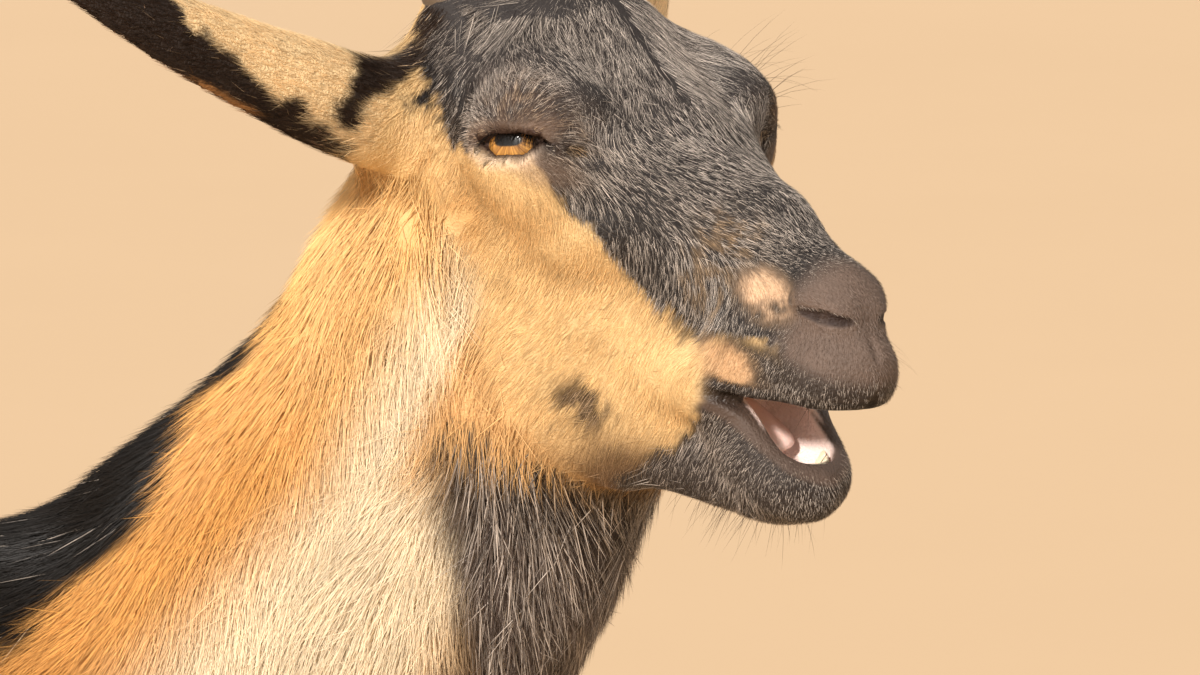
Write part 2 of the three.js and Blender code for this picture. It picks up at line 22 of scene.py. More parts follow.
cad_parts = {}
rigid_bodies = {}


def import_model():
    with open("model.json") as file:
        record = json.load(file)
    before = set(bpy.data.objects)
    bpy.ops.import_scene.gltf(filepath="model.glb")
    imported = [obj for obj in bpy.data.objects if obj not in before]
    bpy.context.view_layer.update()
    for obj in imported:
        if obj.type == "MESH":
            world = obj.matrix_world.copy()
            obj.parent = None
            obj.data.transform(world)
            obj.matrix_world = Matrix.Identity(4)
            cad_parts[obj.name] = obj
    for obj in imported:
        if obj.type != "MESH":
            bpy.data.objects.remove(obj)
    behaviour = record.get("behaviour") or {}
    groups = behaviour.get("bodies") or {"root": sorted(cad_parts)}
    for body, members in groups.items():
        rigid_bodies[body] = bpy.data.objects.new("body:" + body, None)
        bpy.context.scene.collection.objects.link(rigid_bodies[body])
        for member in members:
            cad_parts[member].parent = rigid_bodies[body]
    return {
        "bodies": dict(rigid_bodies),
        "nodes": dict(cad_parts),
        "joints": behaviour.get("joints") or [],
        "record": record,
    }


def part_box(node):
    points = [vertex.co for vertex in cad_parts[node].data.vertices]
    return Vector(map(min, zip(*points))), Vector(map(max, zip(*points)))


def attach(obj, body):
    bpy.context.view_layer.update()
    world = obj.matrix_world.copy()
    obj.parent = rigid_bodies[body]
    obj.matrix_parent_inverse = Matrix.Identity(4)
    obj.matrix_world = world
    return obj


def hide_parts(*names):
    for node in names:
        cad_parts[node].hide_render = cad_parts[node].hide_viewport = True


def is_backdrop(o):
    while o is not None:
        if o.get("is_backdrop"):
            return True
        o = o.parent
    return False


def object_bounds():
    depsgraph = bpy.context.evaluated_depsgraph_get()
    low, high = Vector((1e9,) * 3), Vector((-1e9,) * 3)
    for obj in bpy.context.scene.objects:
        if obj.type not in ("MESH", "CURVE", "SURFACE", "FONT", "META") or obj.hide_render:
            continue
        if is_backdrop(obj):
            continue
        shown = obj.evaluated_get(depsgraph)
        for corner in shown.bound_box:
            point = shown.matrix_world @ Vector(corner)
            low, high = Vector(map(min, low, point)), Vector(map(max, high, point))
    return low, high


log = logging.getLogger("goat")

MM = 0.001
Triple = tuple[float, float, float]
Pair = tuple[float, float]

LEGS = (f"leg_{end}_{side}" for end in ("front", "hind") for side in ("left", "right"))
FLESH = ("head", "jaw", "neck", "trunk", "tail", *LEGS)

SIDES = (1, -1)  # the sign of y on the goat's left and on its right
NECK_FOOT = (64, 0, 520)  # where the neck's line starts, in the body's frame
NECK_LINE = (0.566, 0, 0.824)  # the way up the neck
THROAT_WAY = (0.825, 0, -0.566)  # square to that, towards the throat
BLACK_HAIR = 0.16  # the mean linear colour under which a hair counts as black


# ---- Small tools ----
def smooth(low: float, high: float, values: np.ndarray) -> np.ndarray:
    """A soft step of values from 0 at low to 1 at high."""
    t = np.clip((values - low) / (high - low), 0.0, 1.0)
    return t * t * (3.0 - 2.0 * t)


def unit(vectors: np.ndarray) -> np.ndarray:
    """The vectors in the last axis, at length 1."""
    return vectors / np.maximum(np.linalg.norm(vectors, axis=-1, keepdims=True), 1e-12)


def dot(a: np.ndarray, b: np.ndarray) -> np.ndarray:
    """The dot product over the last axis, kept as an axis."""
    return (a * b).sum(-1, keepdims=True)


def linear(code: str) -> np.ndarray:
    """A colour for Blender.

    Args:
        code: the sRGB colour as six hex digits.

    Returns:
        Its three linear values.
    """
    parts = np.array([int(code[i : i + 2], 16) / 255 for i in (0, 2, 4)])
    return np.where(parts <= 0.04045, parts / 12.92, ((parts + 0.055) / 1.055) ** 2.4)


def rgba(code: str) -> tuple[float, float, float, float]:
    """A hex colour as the four linear values of a shader's socket."""
    return (*(float(x) for x in linear(code)), 1.0)


def value_noise(points: np.ndarray, size: float, seed: int) -> np.ndarray:
    """Smooth noise in space.

    Args:
        points: the places, in the same unit as size.
        size: how far apart the noise's hills are.
        seed: picks one noise of many.

    Returns:
        A value from 0 to 1 for each point.
    """
    scaled = points / size + 100.0
    cell = np.floor(scaled).astype(np.int64)
    part = scaled - cell
    part = part * part * (3.0 - 2.0 * part)
    total = np.zeros(len(points))
    for corner in range(8):
        step = np.array([corner & 1, (corner >> 1) & 1, corner >> 2])
        at = cell + step
        mixed = (at[:, 0] * 73856093) ^ (at[:, 1] * 19349663) ^ (at[:, 2] * 83492791) ^ (seed * 2654435761)
        mixed = (mixed ^ (mixed >> 13)) * 1274126177
        value = ((mixed ^ (mixed >> 16)) & 0xFFFF) / 65535.0
        weight = np.where(step, part, 1.0 - part).prod(axis=1)
        total += value * weight
    return total


def follow(table: Sequence[Pair], at: np.ndarray) -> np.ndarray:
    """The values at places between the rows of a table of places and values."""
    return np.interp(at, *np.array(table, float).T)


def folded(points: np.ndarray) -> np.ndarray:
    """The points with those of the right side mirrored to the left."""
    return np.abs(points * (0, 1, 0)) + points * (1, 0, 1)


def mesh_object(name: str, mesh: bpy.types.Mesh) -> bpy.types.Object:
    """Links a mesh to the scene as an object at the origin."""
    made = bpy.data.objects.new(name, mesh)
    bpy.context.scene.collection.objects.link(made)
    return made


def from_bmesh(name: str, bm: bmesh.types.BMesh, shade_smooth: bool = True) -> bpy.types.Object:
    """Turns a bmesh into an object of the scene, and frees it.

    Args:
        name: the object's name.
        bm: the finished shape, in metres in the row's frame.
        shade_smooth: whether its faces are shaded smooth.

    Returns:
        The new object.
    """
    for face in bm.faces:
        face.smooth = shade_smooth
    mesh = bpy.data.meshes.new(name)
    bm.to_mesh(mesh)
    bm.free()
    return mesh_object(name, mesh)


def join(bm: bmesh.types.BMesh, part: bmesh.types.BMesh) -> None:
    """Adds one bmesh to another, and frees the one added."""
    scratch = bpy.data.meshes.new("part")
    part.to_mesh(scratch)
    part.free()
    bm.from_mesh(scratch)
    bpy.data.meshes.remove(scratch)


def read(items: bpy.types.bpy_prop_collection, name: str, wide: int, kind: type = np.float32) -> np.ndarray:
    """Reads one property of all of a mesh's points, edges or corners.

    Args:
        items: the mesh's collection.
        name: the property.
        wide: how many values each item has.
        kind: the values' type.

    Returns:
        The values, one row for each item.
    """
    out = np.empty(len(items) * wide, kind)
    items.foreach_get(name, out)
    return out.reshape(-1, wide)


def round_off(bm: bmesh.types.BMesh, edges: list, offset: float, clamp_overlap: bool = False) -> None:
    """Bevels edges round, as wide as offset."""
    bmesh.ops.bevel(
        bm,
        geom=edges,
        offset=offset,
        offset_type="OFFSET",
        segments=3,
        profile=0.5,
        affect="EDGES",
        material=-1,
        clamp_overlap=clamp_overlap,
    )


def coordinates(mesh: bpy.types.Mesh) -> np.ndarray:
    """The mesh's points, one row each."""
    return read(mesh.vertices, "co", 3).astype(float)


def place(mesh: bpy.types.Mesh, points: np.ndarray) -> None:
    """Moves the mesh's points to these places."""
    mesh.vertices.foreach_set("co", points.astype(np.float32).ravel())
    mesh.update()


def normals(mesh: bpy.types.Mesh) -> np.ndarray:
    """The mesh's normals at its points."""
    return read(mesh.vertex_normals, "vector", 3).astype(float)


def store_tint(mesh: bpy.types.Mesh, colours: np.ndarray) -> None:
    """Keeps a linear colour for each of the mesh's points, as its attribute tint."""
    tint = np.ones((len(colours), 4), np.float32)
    tint[:, :3] = colours
    layer = mesh.color_attributes.new(name="tint", type="FLOAT_COLOR", domain="POINT")
    layer.data.foreach_set("color", tint.ravel())


def mix_in(values: np.ndarray, share: np.ndarray, other: np.ndarray) -> None:
    """Mixes another colour or direction into the rows of values, by a share for each."""
    values += (other - values) * np.clip(share, 0, 1)[:, None]


def applied(made: bpy.types.Object, kind: str, **settings: object) -> None:
    """Puts a modifier on an object and makes its result the object's own mesh.

    Args:
        made: the object.
        kind: the modifier's type.
        settings: its settings by name.
    """
    modifier = made.modifiers.new(kind.lower(), kind)
    for name, value in settings.items():
        setattr(modifier, name, value)
    evaluated = made.evaluated_get(bpy.context.evaluated_depsgraph_get())
    result = bpy.data.meshes.new_from_object(evaluated)
    made.modifiers.remove(modifier)
    before, made.data = made.data, result
    bpy.data.meshes.remove(before)


# ---- The two frames of the animal ----
@dataclass(frozen=True)
class AnimalFrame:
    """A frame of the animal's own, in millimetres."""

    origin: np.ndarray  # in metres, in the row's frame
    axes: np.ndarray  # forward, left and up, one row each

    def local(self, points: np.ndarray) -> np.ndarray:
        """Points of the row's frame, in metres, in this frame's millimetres."""
        return (points - self.origin) @ self.axes.T / MM

    def world(self, points: np.ndarray) -> np.ndarray:
        """Points of this frame, in millimetres, in the row's frame in metres."""
        return np.asarray(points, float) * MM @ self.axes + self.origin

    def turn(self, directions: np.ndarray) -> np.ndarray:
        """Directions of this frame in the row's frame."""
        return np.asarray(directions, float) @ self.axes

    def matrix(self) -> Matrix:
        """The frame as a matrix that takes its metres to the row's frame."""
        made = Matrix(self.axes.T.tolist()).to_4x4()
        made.translation = Vector(self.origin)
        return made


@dataclass(frozen=True)
class Pose:
    """How the head is carried, and where it is in the body's frame."""

    place: Triple = (249.0, -20.0, 766.0)  # halfway between the eyes
    turn: float = -20.9  # degrees to the left
    drop: float = 18.3  # degrees that the line from eye to nostril points down
    tilt: float = -2.2  # degrees that the left eye is above the right one
    eye_level: float = -1.0  # the eyeballs' centres, in the head's frame

    def frames(self) -> tuple[AnimalFrame, AnimalFrame]:
        """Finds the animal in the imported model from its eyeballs.

        Returns:
            The head's frame and the body's frame.
        """
        centres = [np.array(sum(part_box(f"eye_{side}"), Vector()) / 2) for side in ("left", "right")]
        turned = Euler([math.radians(a) for a in (self.tilt, self.drop, self.turn)], "XYZ")
        axes = np.array(turned.to_matrix().transposed())
        origin = sum(centres) / 2 - axes[2] * self.eye_level * MM
        head = AnimalFrame(origin, axes)
        body = AnimalFrame(origin - np.array(self.place) * MM, np.eye(3))
        return head, body


# ---- The head's form ----
@dataclass(frozen=True)
class Limb:
    """A tapered limb from start to end with an elliptical section, and ends rounded over by cap."""

    start: Triple
    end: Triple
    near: Pair  # half width and half height at the start
    far: Pair | None = None
    cap: float | None = None
    up: Triple = (0.0, 0.0, 1.0)

    def measures(self) -> tuple:
        """Half sizes at both ends, the cap, the start, the length, and the ways along, across and up."""
        near, far = np.array(self.near), np.array(self.far or self.near)
        start, run = np.array(self.start), np.array(self.end) - np.array(self.start)
        length = np.linalg.norm(run)
        along = run / length
        side = unit(np.cross(self.up, along))
        cap = self.cap or min(near.min(), far.min())
        return near, far, cap, start, length, along, side, np.cross(along, side)

    def mirrored(self) -> "Limb":
        """The same limb on the other side."""
        start, end = ((x, -y, z) for x, y, z in (self.start, self.end))
        return replace(self, start=start, end=end)

    def distance(self, points: np.ndarray) -> np.ndarray:
        """How far points are outside the limb, about.

        Args:
            points: places in the limb's frame.

        Returns:
            The distances, negative inside.
        """
        near, far, cap, start, length, along, side, height = self.measures()
        offset = points - start
        t = np.clip(offset @ along / length, 0.0, 1.0)
        offset = offset - np.outer(t * length, along)
        wide = near[0] + (far[0] - near[0]) * t
        high = near[1] + (far[1] - near[1]) * t
        s, v, e = offset @ side, offset @ height, offset @ along
        far_out = np.sqrt((s / wide) ** 2 + (v / high) ** 2 + (e / cap) ** 2)
        slope = np.sqrt((s / wide**2) ** 2 + (v / high**2) ** 2 + (e / cap**2) ** 2)
        away = far_out * (far_out - 1) / np.maximum(slope, 1e-9)
        return np.where(slope < 1e-9, -np.minimum(wide, high), away)

    def mesh(self, frame: AnimalFrame) -> bmesh.types.BMesh:
        """The limb's own surface as a closed shape in the row's frame."""
        near, far, cap, start, length, along, side, height = self.measures()

        def shape(turn: np.ndarray, t: np.ndarray) -> np.ndarray:
            """Places on the limb."""
            reach = t * (length + 2 * cap) - cap
            over = np.maximum(reach - length, 0) + np.maximum(-reach, 0)
            half = near + np.outer(np.clip(reach / length, 0, 1), far - near)
            half = half * np.sqrt(np.clip(1 - (over / cap) ** 2, 0, 1))[:, None]
            angle = turn * 2 * np.pi
            ring = np.outer(np.cos(angle) * half[:, 0], side)
            ring = ring + np.outer(np.sin(angle) * half[:, 1], height)
            return frame.world(start + np.outer(reach, along) + ring)

        return tube(shape, 24, 26)


def egg(centre: Triple, size: Triple) -> Limb:
    """A limb so short that only its rounded ends are left. size is its three half sizes."""
    x, y, z = centre
    return Limb((x - 0.01, y, z), (x + 0.01, y, z), (size[1], size[2]), cap=size[0])


def both(limb: Limb) -> list[Limb]:
    """A limb on the left and its mirror image on the right."""
    return [limb, limb.mirrored()]


def chain(points: Sequence[Triple], sizes: Sequence[Pair], **more: object) -> list[Limb]:
    """Limbs through a row of points, with a section's half sizes for each."""
    return [Limb(points[i], points[i + 1], sizes[i], sizes[i + 1], **more) for i in range(len(points) - 1)]


def nearest(cuts: Sequence[tuple[float, Limb]], points: np.ndarray) -> np.ndarray:
    """How far points are outside the nearest of some cuts."""
    return np.min([limb.distance(points) for _, limb in cuts], axis=0)


def fillet(a: np.ndarray, b: np.ndarray, k: float) -> np.ndarray:
    """The union of two distances with a fillet of about k."""
    h = np.maximum(k - np.abs(a - b), 0.0) / k
    return np.minimum(a, b) - h * h * k / 4


@dataclass(frozen=True)
class EyeSocket:
    """Where one eyeball sits and how its lids open, in the head's frame for the left eye."""

    centre: Triple = (-2.5, 38.8, -1.0)
    radius: float = 13.5
    gaze: Triple = (0.275, 0.889, 0.365)
    along: Triple = (0.834, -0.41, 0.372)  # along the opening, towards the muzzle
    opening: Pair = (12.4, 3.7)  # half length and half height between the lids
    lowered: float = 1.4  # how far the opening is below the line of the gaze

    def axes(self, side: int) -> tuple[np.ndarray, np.ndarray, np.ndarray, np.ndarray]:
        """The eyeball's centre, its gaze, the opening's line and its upward direction on one side."""
        mirror = np.array([1, side, 1])
        gaze = unit(np.array(self.gaze) * mirror)
        along = np.array(self.along) * mirror
        along = unit(along - gaze * (along @ gaze))
        up = np.cross(gaze, along) * -side
        return np.array(self.centre) * mirror, gaze, along, up


@dataclass
class HeadForm:
    """The head's outside as a blend of limbs, with its mouth, nostrils and eyes cut in."""

    head: AnimalFrame
    body: AnimalFrame
    socket: EyeSocket = field(default_factory=EyeSocket)
    solid: list[Limb] = field(init=False)
    lids: list[Limb] = field(init=False)
    neck: list[Limb] = field(init=False)  # in the body's frame
    cuts: list[tuple[float, Limb]] = field(init=False)

    def __post_init__(self) -> None:
        """Lists the limbs that are blended and the ones that are cut out."""
        self.solid = [*self.skull(), *self.muzzle(), *self.jaw()]
        self.lids = [egg(tuple(self.socket.axes(s)[0]), (14.2, 14.2, 14.2)) for s in SIDES]
        self.neck = chain(
            [(64, 0, 520), (114, -1, 586), (166, -4, 644), (194, -9, 696), (208, -14, 730)],
            [(74, 112), (60, 90), (50, 74), (45, 69), (32, 57)],
            cap=30,
            up=(-0.7, 0, 0.7),
        )
        self.cuts = [*self.mouth_cuts(), *self.nose_cuts(), *self.eye_cuts()]

    @staticmethod
    def skull() -> list[Limb]:
        """Brain case, brows, bridge of the nose, cheekbones and chewing muscles."""
        return [
            egg((-40, 0, 4), (46, 38, 36)),
            *both(Limb((-54, 20, -18), (-56, 30, 0), (24, 20), (17, 17))),
            *both(Limb((-54, 22, 8), (-62, 26, 24), (17, 17), (14.5, 14.5), cap=8)),
            Limb((-28, 0, 10), (16, 0, 4), (32, 28), (27, 21)),
            Limb((14, 0, 0), (70, 0, -3), (23, 21), (16.5, 17.3)),
            Limb((70, 0, -3), (106, 0, -5.5), (16.5, 17.3), (13, 13)),
            Limb((4, 0, -34), (84, 0, -22), (28, 38), (18, 20)),
            *both(egg((-6, 32, 2), (32, 17, 27))),
            *both(Limb((-8, 33, 0), (-44, 29, -2), (15, 22), (13, 18))),
            *both(Limb((30, 16, -54), (82, 17, -47), (11, 20), (7, 10))),
            *both(Limb((4, 30, -8), (66, 9, -8), (16, 24), (9, 15))),
            *both(Limb((-30, 29, -22), (18, 27.5, -21), (14, 18), (13, 16))),
            *both(Limb((-28, 22, -42), (4, 22, -68), (14.5, 36), (14, 38), cap=20)),
            *both(Limb((-22, 33, -4), (8, 33, -9), (12, 14), (11, 12))),
            *both(Limb((-20, 37, 10), (10, 36, 16), (10, 9), (9, 8))),
            *both(Limb((-18, 37, -11), (8, 36.5, -10), (10, 9), (9, 8))),
        ]

    @staticmethod
    def muzzle() -> list[Limb]:
        """Nose and upper lip."""
        return [
            egg((106.5, 0, -4.5), (13, 10.5, 10)),
            egg((120.5, 0, -19.3), (15.5, 12.5, 13)),
            egg((120.5, 0, -25.5), (14, 14, 8.2)),
            *both(Limb((84, 18.5, -37), (101, 15.5, -38), (4.5, 5.5), (4.5, 5.5))),
            *both(Limb((101, 15.5, -38), (120, 9, -31), (4.5, 5.5), (4.5, 4.5))),
            *both(Limb((76, 19.5, -46), (86, 19.5, -46), (6, 8), (5, 6))),
            *both(Limb((88, 11, -25), (119, 7, -24), (11, 12), (10, 10))),
            *both(Limb((109, 13, -2.4), (119, 7, -3.4), (2.8, 2.4), (2.4, 2.2))),
        ]

    @staticmethod
    def jaw() -> list[Limb]:
        """Lower jaw, chin and lower lip."""
        lip = chain(
            [(88, 17, -50), (95, 13.8, -56), (104, 13.6, -60), (112, 12, -63)]
            + [(118.5, 8.5, -64.5), (122.5, 0, -64.5)],
            [(4, 6), (3.6, 6), (3.6, 5.5), (3.6, 5.5), (3.6, 5.5), (4, 6)],
        )
        return [
            *both(Limb((-16, 20, -76), (48, 13, -78), (13, 30), (11, 21))),
            *both(Limb((48, 13, -76), (100, 7, -70), (11, 20), (9, 12))),
            Limb((-10, 0, -68), (88, 0, -70), (21, 25), (13, 15)),
            egg((107.5, 0, -69), (16, 13.5, 13)),
            *lip,
            *[x.mirrored() for x in lip],
        ]

    @staticmethod
    def mouth_cuts() -> list[tuple[float, Limb]]:
        """The gape between the lips and the hollow behind the lower lip."""
        return [
            (2.0, Limb((92, 0, -44), (150, 0, -44), (60, 1.2), (60, 17), cap=3)),
            (3.0, Limb((85, 0, -50), (111.5, 0, -57), (12, 8.5), (10, 8.5))),
            (3.0, Limb((88, 0, -43), (112, 0, -35.5), (10.5, 6), (8.5, 5))),
        ]

    @staticmethod
    def nose_cuts() -> list[tuple[float, Limb]]:
        """The nostrils, the wings' lower fold and the groove of the upper lip."""
        return [
            *[(1.2, x) for x in both(Limb((112, 18, -6), (119, 14.5, -5), (3, 1.3), (4, 1.9)))],
            *[(1.2, x) for x in both(Limb((119, 14.5, -5), (126.5, 8, -4), (4, 1.9), (3, 0.9)))],
            *[(2.5, x) for x in both(Limb((103, 19, -6), (109, 19, -18), (1.5, 1.5), (1.2, 1.2)))],
            (2.0, Limb((130, 0, -7), (136.5, 0, -32), (0.9, 2), (0.9, 2))),
        ]

    def eye_cuts(self) -> list[tuple[float, Limb]]:
        """The openings between the lids, and the fold that runs on from the inner corner."""
        made: list[tuple[float, Limb]] = []
        for side in SIDES:
            centre, gaze, along, up = self.socket.axes(side)
            middle = centre + gaze * (self.socket.radius + 1) - up * self.socket.lowered
            half, high = self.socket.opening
            bends = ((1.5 - half, 0.9), (-5, -0.2), (5, -0.2), (half - 1.5, 0.9))
            arc = [tuple(middle + along * a + up * b) for a, b in bends]
            sizes = [(8, tall) for tall in (1.0, high - 0.5, high - 0.5, 1.0)]
            made += [(1.0, x) for x in chain(arc, sizes, cap=1.5, up=tuple(up))]
            made += [(1.0, x) for x in self.tear_fold(side)]
            hollow = Limb((27, side * 42, 20), (33, side * 42.5, -2), (7, 4), (7, 5), up=(1, 0, 0))
            made.append((14.0, hollow))
        return made

    def from_eyes(self, points: np.ndarray, out: float) -> list[np.ndarray]:
        """How far points are from a place that is out millimetres along each eye's gaze."""
        eyes = [self.socket.axes(side) for side in SIDES]
        return [np.linalg.norm(points - centre - gaze * out, axis=1) for centre, gaze, _, _ in eyes]

    @staticmethod
    def tear_fold(side: int) -> list[Limb]:
        """The crease that runs on from the eye's inner corner."""
        fold = [(9, side * 45, 6.8), (14, side * 41.5, 7.6), (23, side * 37, 7.6)]
        return chain(fold, [(1.6, 0.7), (1.5, 0.6), (1, 0.5)])

    def distance(self, points: np.ndarray, fine: bool = True) -> np.ndarray:
        """How far points are outside the head.

        Args:
            points: places in the head's frame.
            fine: whether the lids and the small cuts are there.

        Returns:
            The distances, negative inside.
        """
        total = np.full(len(points), 1e3)
        for limb in self.solid:
            total = fillet(total, limb.distance(points), 10.0)
        if fine:
            for limb in self.lids:
                total = fillet(total, limb.distance(points), 18.0)
        near = points[:, 0] < 75
        neck = Limb((-44, 0, -44), (-58, 0, -22), (40, 36), (38, 34)).distance(points[near])
        in_body = self.body.local(self.head.world(points[near]))
        for limb in self.neck:
            neck = fillet(neck, limb.distance(in_body), 12.0)
        total[near] = fillet(total[near], neck, 20.0)
        for size, limb in self.cuts if fine else self.mouth_cuts():
            total = -fillet(-total, limb.distance(points), size)
        for side in SIDES if fine else ():
            ball = egg(tuple(self.socket.axes(side)[0]), (12.6, 12.6, 12.6))
            total = fillet(total, ball.distance(points), 0.6)
        return total

    def slope(self, points: np.ndarray, here: np.ndarray, fine: bool = True) -> np.ndarray:
        """The way the distance grows at points where it is here."""
        reach = 0.3
        steps = np.eye(3) * reach
        return np.stack([(self.distance(points + step, fine) - here) / reach for step in steps], 1)


# ---- Ears, horns and other lofted shapes ----
def tube(shape: Callable[[np.ndarray, np.ndarray], np.ndarray], around: int, along: int) -> bmesh.types.BMesh:
    """A closed tube, bent to a shape from a flat grid.

    Args:
        shape: gives places, in metres, from the share of a turn and the share of the length.
        around: faces round the tube.
        along: faces along it.

    Returns:
        The tube with both ends closed and its faces outwards.
    """
    bm = bmesh.new()
    bmesh.ops.create_grid(bm, x_segments=around, y_segments=along, size=0.5)
    flat = np.array([v.co[:2] for v in bm.verts]) + 0.5
    for vert, co in zip(bm.verts, shape(flat[:, 0], flat[:, 1])):
        vert.co = co
    bmesh.ops.remove_doubles(bm, verts=bm.verts, dist=1e-6)
    bmesh.ops.holes_fill(bm, edges=bm.edges, sides=around + 1)
    bmesh.ops.recalc_face_normals(bm, faces=bm.faces)
    return bm


@dataclass(frozen=True)
class Sweep:
    """A curve in the head's frame that leaves along out and bends towards lean."""

    start: Triple
    out: Triple
    lean: Triple
    length: float

    def points(self, t: np.ndarray) -> tuple[np.ndarray, np.ndarray]:
        """Places on the curve and its directions there.

        Args:
            t: shares of the length.

        Returns:
            The places and the unit directions, one row each.
        """
        steps = 240
        share = (np.arange(steps) + 0.5) / steps
        first, last = unit(np.array(self.out, float)), unit(np.array(self.lean, float))
        ways = unit(first + np.outer(share, last - first))
        path = np.vstack([np.zeros(3), np.cumsum(ways * self.length / steps, axis=0)]) + self.start
        at = np.stack([np.interp(t, np.linspace(0, 1, steps + 1), path[:, i]) for i in range(3)], 1)
        return at, unit(first + np.outer(t, last - first))


class Side(Enum):
    """The goat's own left and right, with the sign of y on that side."""

    LEFT = 1
    RIGHT = -1

    @property
    def word(self) -> str:
        """The side's name as nodes and pieces have it."""
        return self.name.lower()


@dataclass(frozen=True)
class Ear:
    """A rolled leaf whose back is towards the top and front. Its root reaches into the head."""

    side: Side
    line: Sweep
    back: Triple
    thick: float = 5.2

    @classmethod
    def of(cls, side: Side) -> "Ear":
        """The right ear is held out level and the left one is laid back."""
        if side is Side.RIGHT:
            line = Sweep((-51, -22, -16), (-0.1, -1, 0.24), (-0.34, -0.92, 0.32), 164)
            return cls(side, line, (0.5, 0, 0.86))
        line = Sweep((-47, 24, -13), (-0.6, 0.75, 0.3), (-0.86, 0.46, 0.3), 164)
        return cls(side, line, (-0.1, 0.55, 0.83))

    @staticmethod
    def width(t: np.ndarray) -> np.ndarray:
        """Half the width across the roll: a narrow root, widest a third out, then a blunt tip."""
        leaf = np.sin(np.pi * np.minimum(1, 0.2 + 0.8 * t) ** 0.8)
        return 5 + 27 * np.maximum(leaf, 0) ** 0.7 * (1 - 0.12 * t)

    def leaf(self, t: np.ndarray) -> tuple[np.ndarray, np.ndarray, np.ndarray]:
        """How far the leaf is rolled up, the roll's radius and the leaf's thickness, at shares t."""
        roll = 2.2 - 1.2 * t
        radius = self.width(t) / np.minimum(1.6, roll)
        return roll, radius, np.minimum(self.thick, radius * 0.6) * (1 - 0.3 * t)

    def beside(self, points: np.ndarray) -> np.ndarray:
        """The indices of the points of the head's frame that may be on this ear."""
        return np.nonzero((points[:, 1] * self.side.value > 40) & (points[:, 0] < -10))[0]

    def axes(self, t: np.ndarray) -> tuple[np.ndarray, np.ndarray, np.ndarray, np.ndarray]:
        """The ear's line, its direction, the way to its back and the way across, at shares t."""
        at, along = self.line.points(t)
        back = unit(np.array(self.back, float))
        out = unit(back - along * dot(along, back))
        return at, along, out, np.cross(out, along) * self.side.value

    def local(self, turn: np.ndarray, t: np.ndarray) -> np.ndarray:
        """The ear's surface in the head's frame: half a turn is its back, the other half its hollow."""
        at, _, out, across = self.axes(t)
        roll, radius, thick = self.leaf(t)
        ring = turn * 2 % 2.0
        inner = ring > 1
        k = np.where(inner, 3 - 2 * ring, 2 * ring - 1)
        rim = np.sqrt(np.clip(1 - np.abs(k) ** 10, 0, 1))
        middle = radius - thick / 2
        r = middle + np.where(inner, -rim, rim) * thick / 2
        angle = roll * k
        wide, high = r * np.sin(angle), r * np.cos(angle) - radius * 0.6
        return at + across * wide[:, None] + out * high[:, None]

    def base(self) -> list[Limb]:
        """The ear's root as round limbs, which the head's form blends in."""
        t = np.array([0.02, 0.1, 0.17, 0.24, 0.31])
        at, _, out, _ = self.axes(t)
        full = self.leaf(t)[1]
        radius = full * (1, 0.98, 0.88, 0.6, 0.3)
        ends = at + out * (full * 0.4 - radius)[:, None]
        return chain([tuple(e) for e in ends], [(r - 0.4, r - 0.4) for r in radius], cap=6)

    def mesh(self, head: AnimalFrame) -> bmesh.types.BMesh:
        """The ear as a closed shape in the row's frame."""
        return tube(lambda turn, t: head.world(self.local(turn, t)), 44, 70)

    def place_on(self, points: np.ndarray) -> tuple[np.ndarray, np.ndarray, np.ndarray, np.ndarray]:
        """Where points of the head's frame lie on the ear.

        Args:
            points: places in the head's frame.

        Returns:
            The share of the length, the share of the half width across, the distance outside the
            leaf's width, and 1 on its hollow side.
        """
        t = np.linspace(0, 1, 60)
        at, _, out, across = self.axes(t)
        nearest = np.argmin(((points[:, None, :] - at[None]) ** 2).sum(2), axis=1)
        offset = points - at[nearest]
        roll, radius, thick = self.leaf(t[nearest])
        a = (offset * across[nearest]).sum(1)
        b = (offset * out[nearest]).sum(1) + 0.6 * radius
        away = np.sqrt((offset**2).sum(1)) - self.width(t[nearest])
        inner = (np.hypot(a, b) < radius - thick / 2).astype(float)
        return t[nearest], np.arctan2(a, b) / roll, away, inner


# ---- The skin ----
class Relief:
    """A mesh's points with their neighbours, for evening out and for drawing onto a form."""

    def __init__(self, mesh: bpy.types.Mesh) -> None:
        """Reads the mesh's points and edges."""
        self.mesh = mesh
        self.points = coordinates(mesh)
        self.a, self.b = read(mesh.edges, "vertices", 2, np.int32).T
        ends = [np.bincount(end, minlength=len(self.points)) for end in (self.a, self.b)]
        self.degree = np.maximum(sum(ends), 1)

    def around(self, values: np.ndarray) -> np.ndarray:
        """The mean of each point's neighbours."""
        count = len(self.points)
        columns = [
            np.bincount(self.a, values[self.b, i], count) + np.bincount(self.b, values[self.a, i], count)
            for i in range(values.shape[1])
        ]
        return np.stack(columns, 1) / self.degree[:, None]

    def even(self, weight: np.ndarray, rounds: int) -> None:
        """Smooths without shrinking.

        Args:
            weight: how much each point takes part, from 0 to 1.
            rounds: how often.
        """
        for step in (0.55, -0.57) * rounds:
            self.points += (self.around(self.points) - self.points) * (step * weight)[:, None]

    def write(self) -> None:
        """Moves the mesh's points to where they are here."""
        place(self.mesh, self.points)


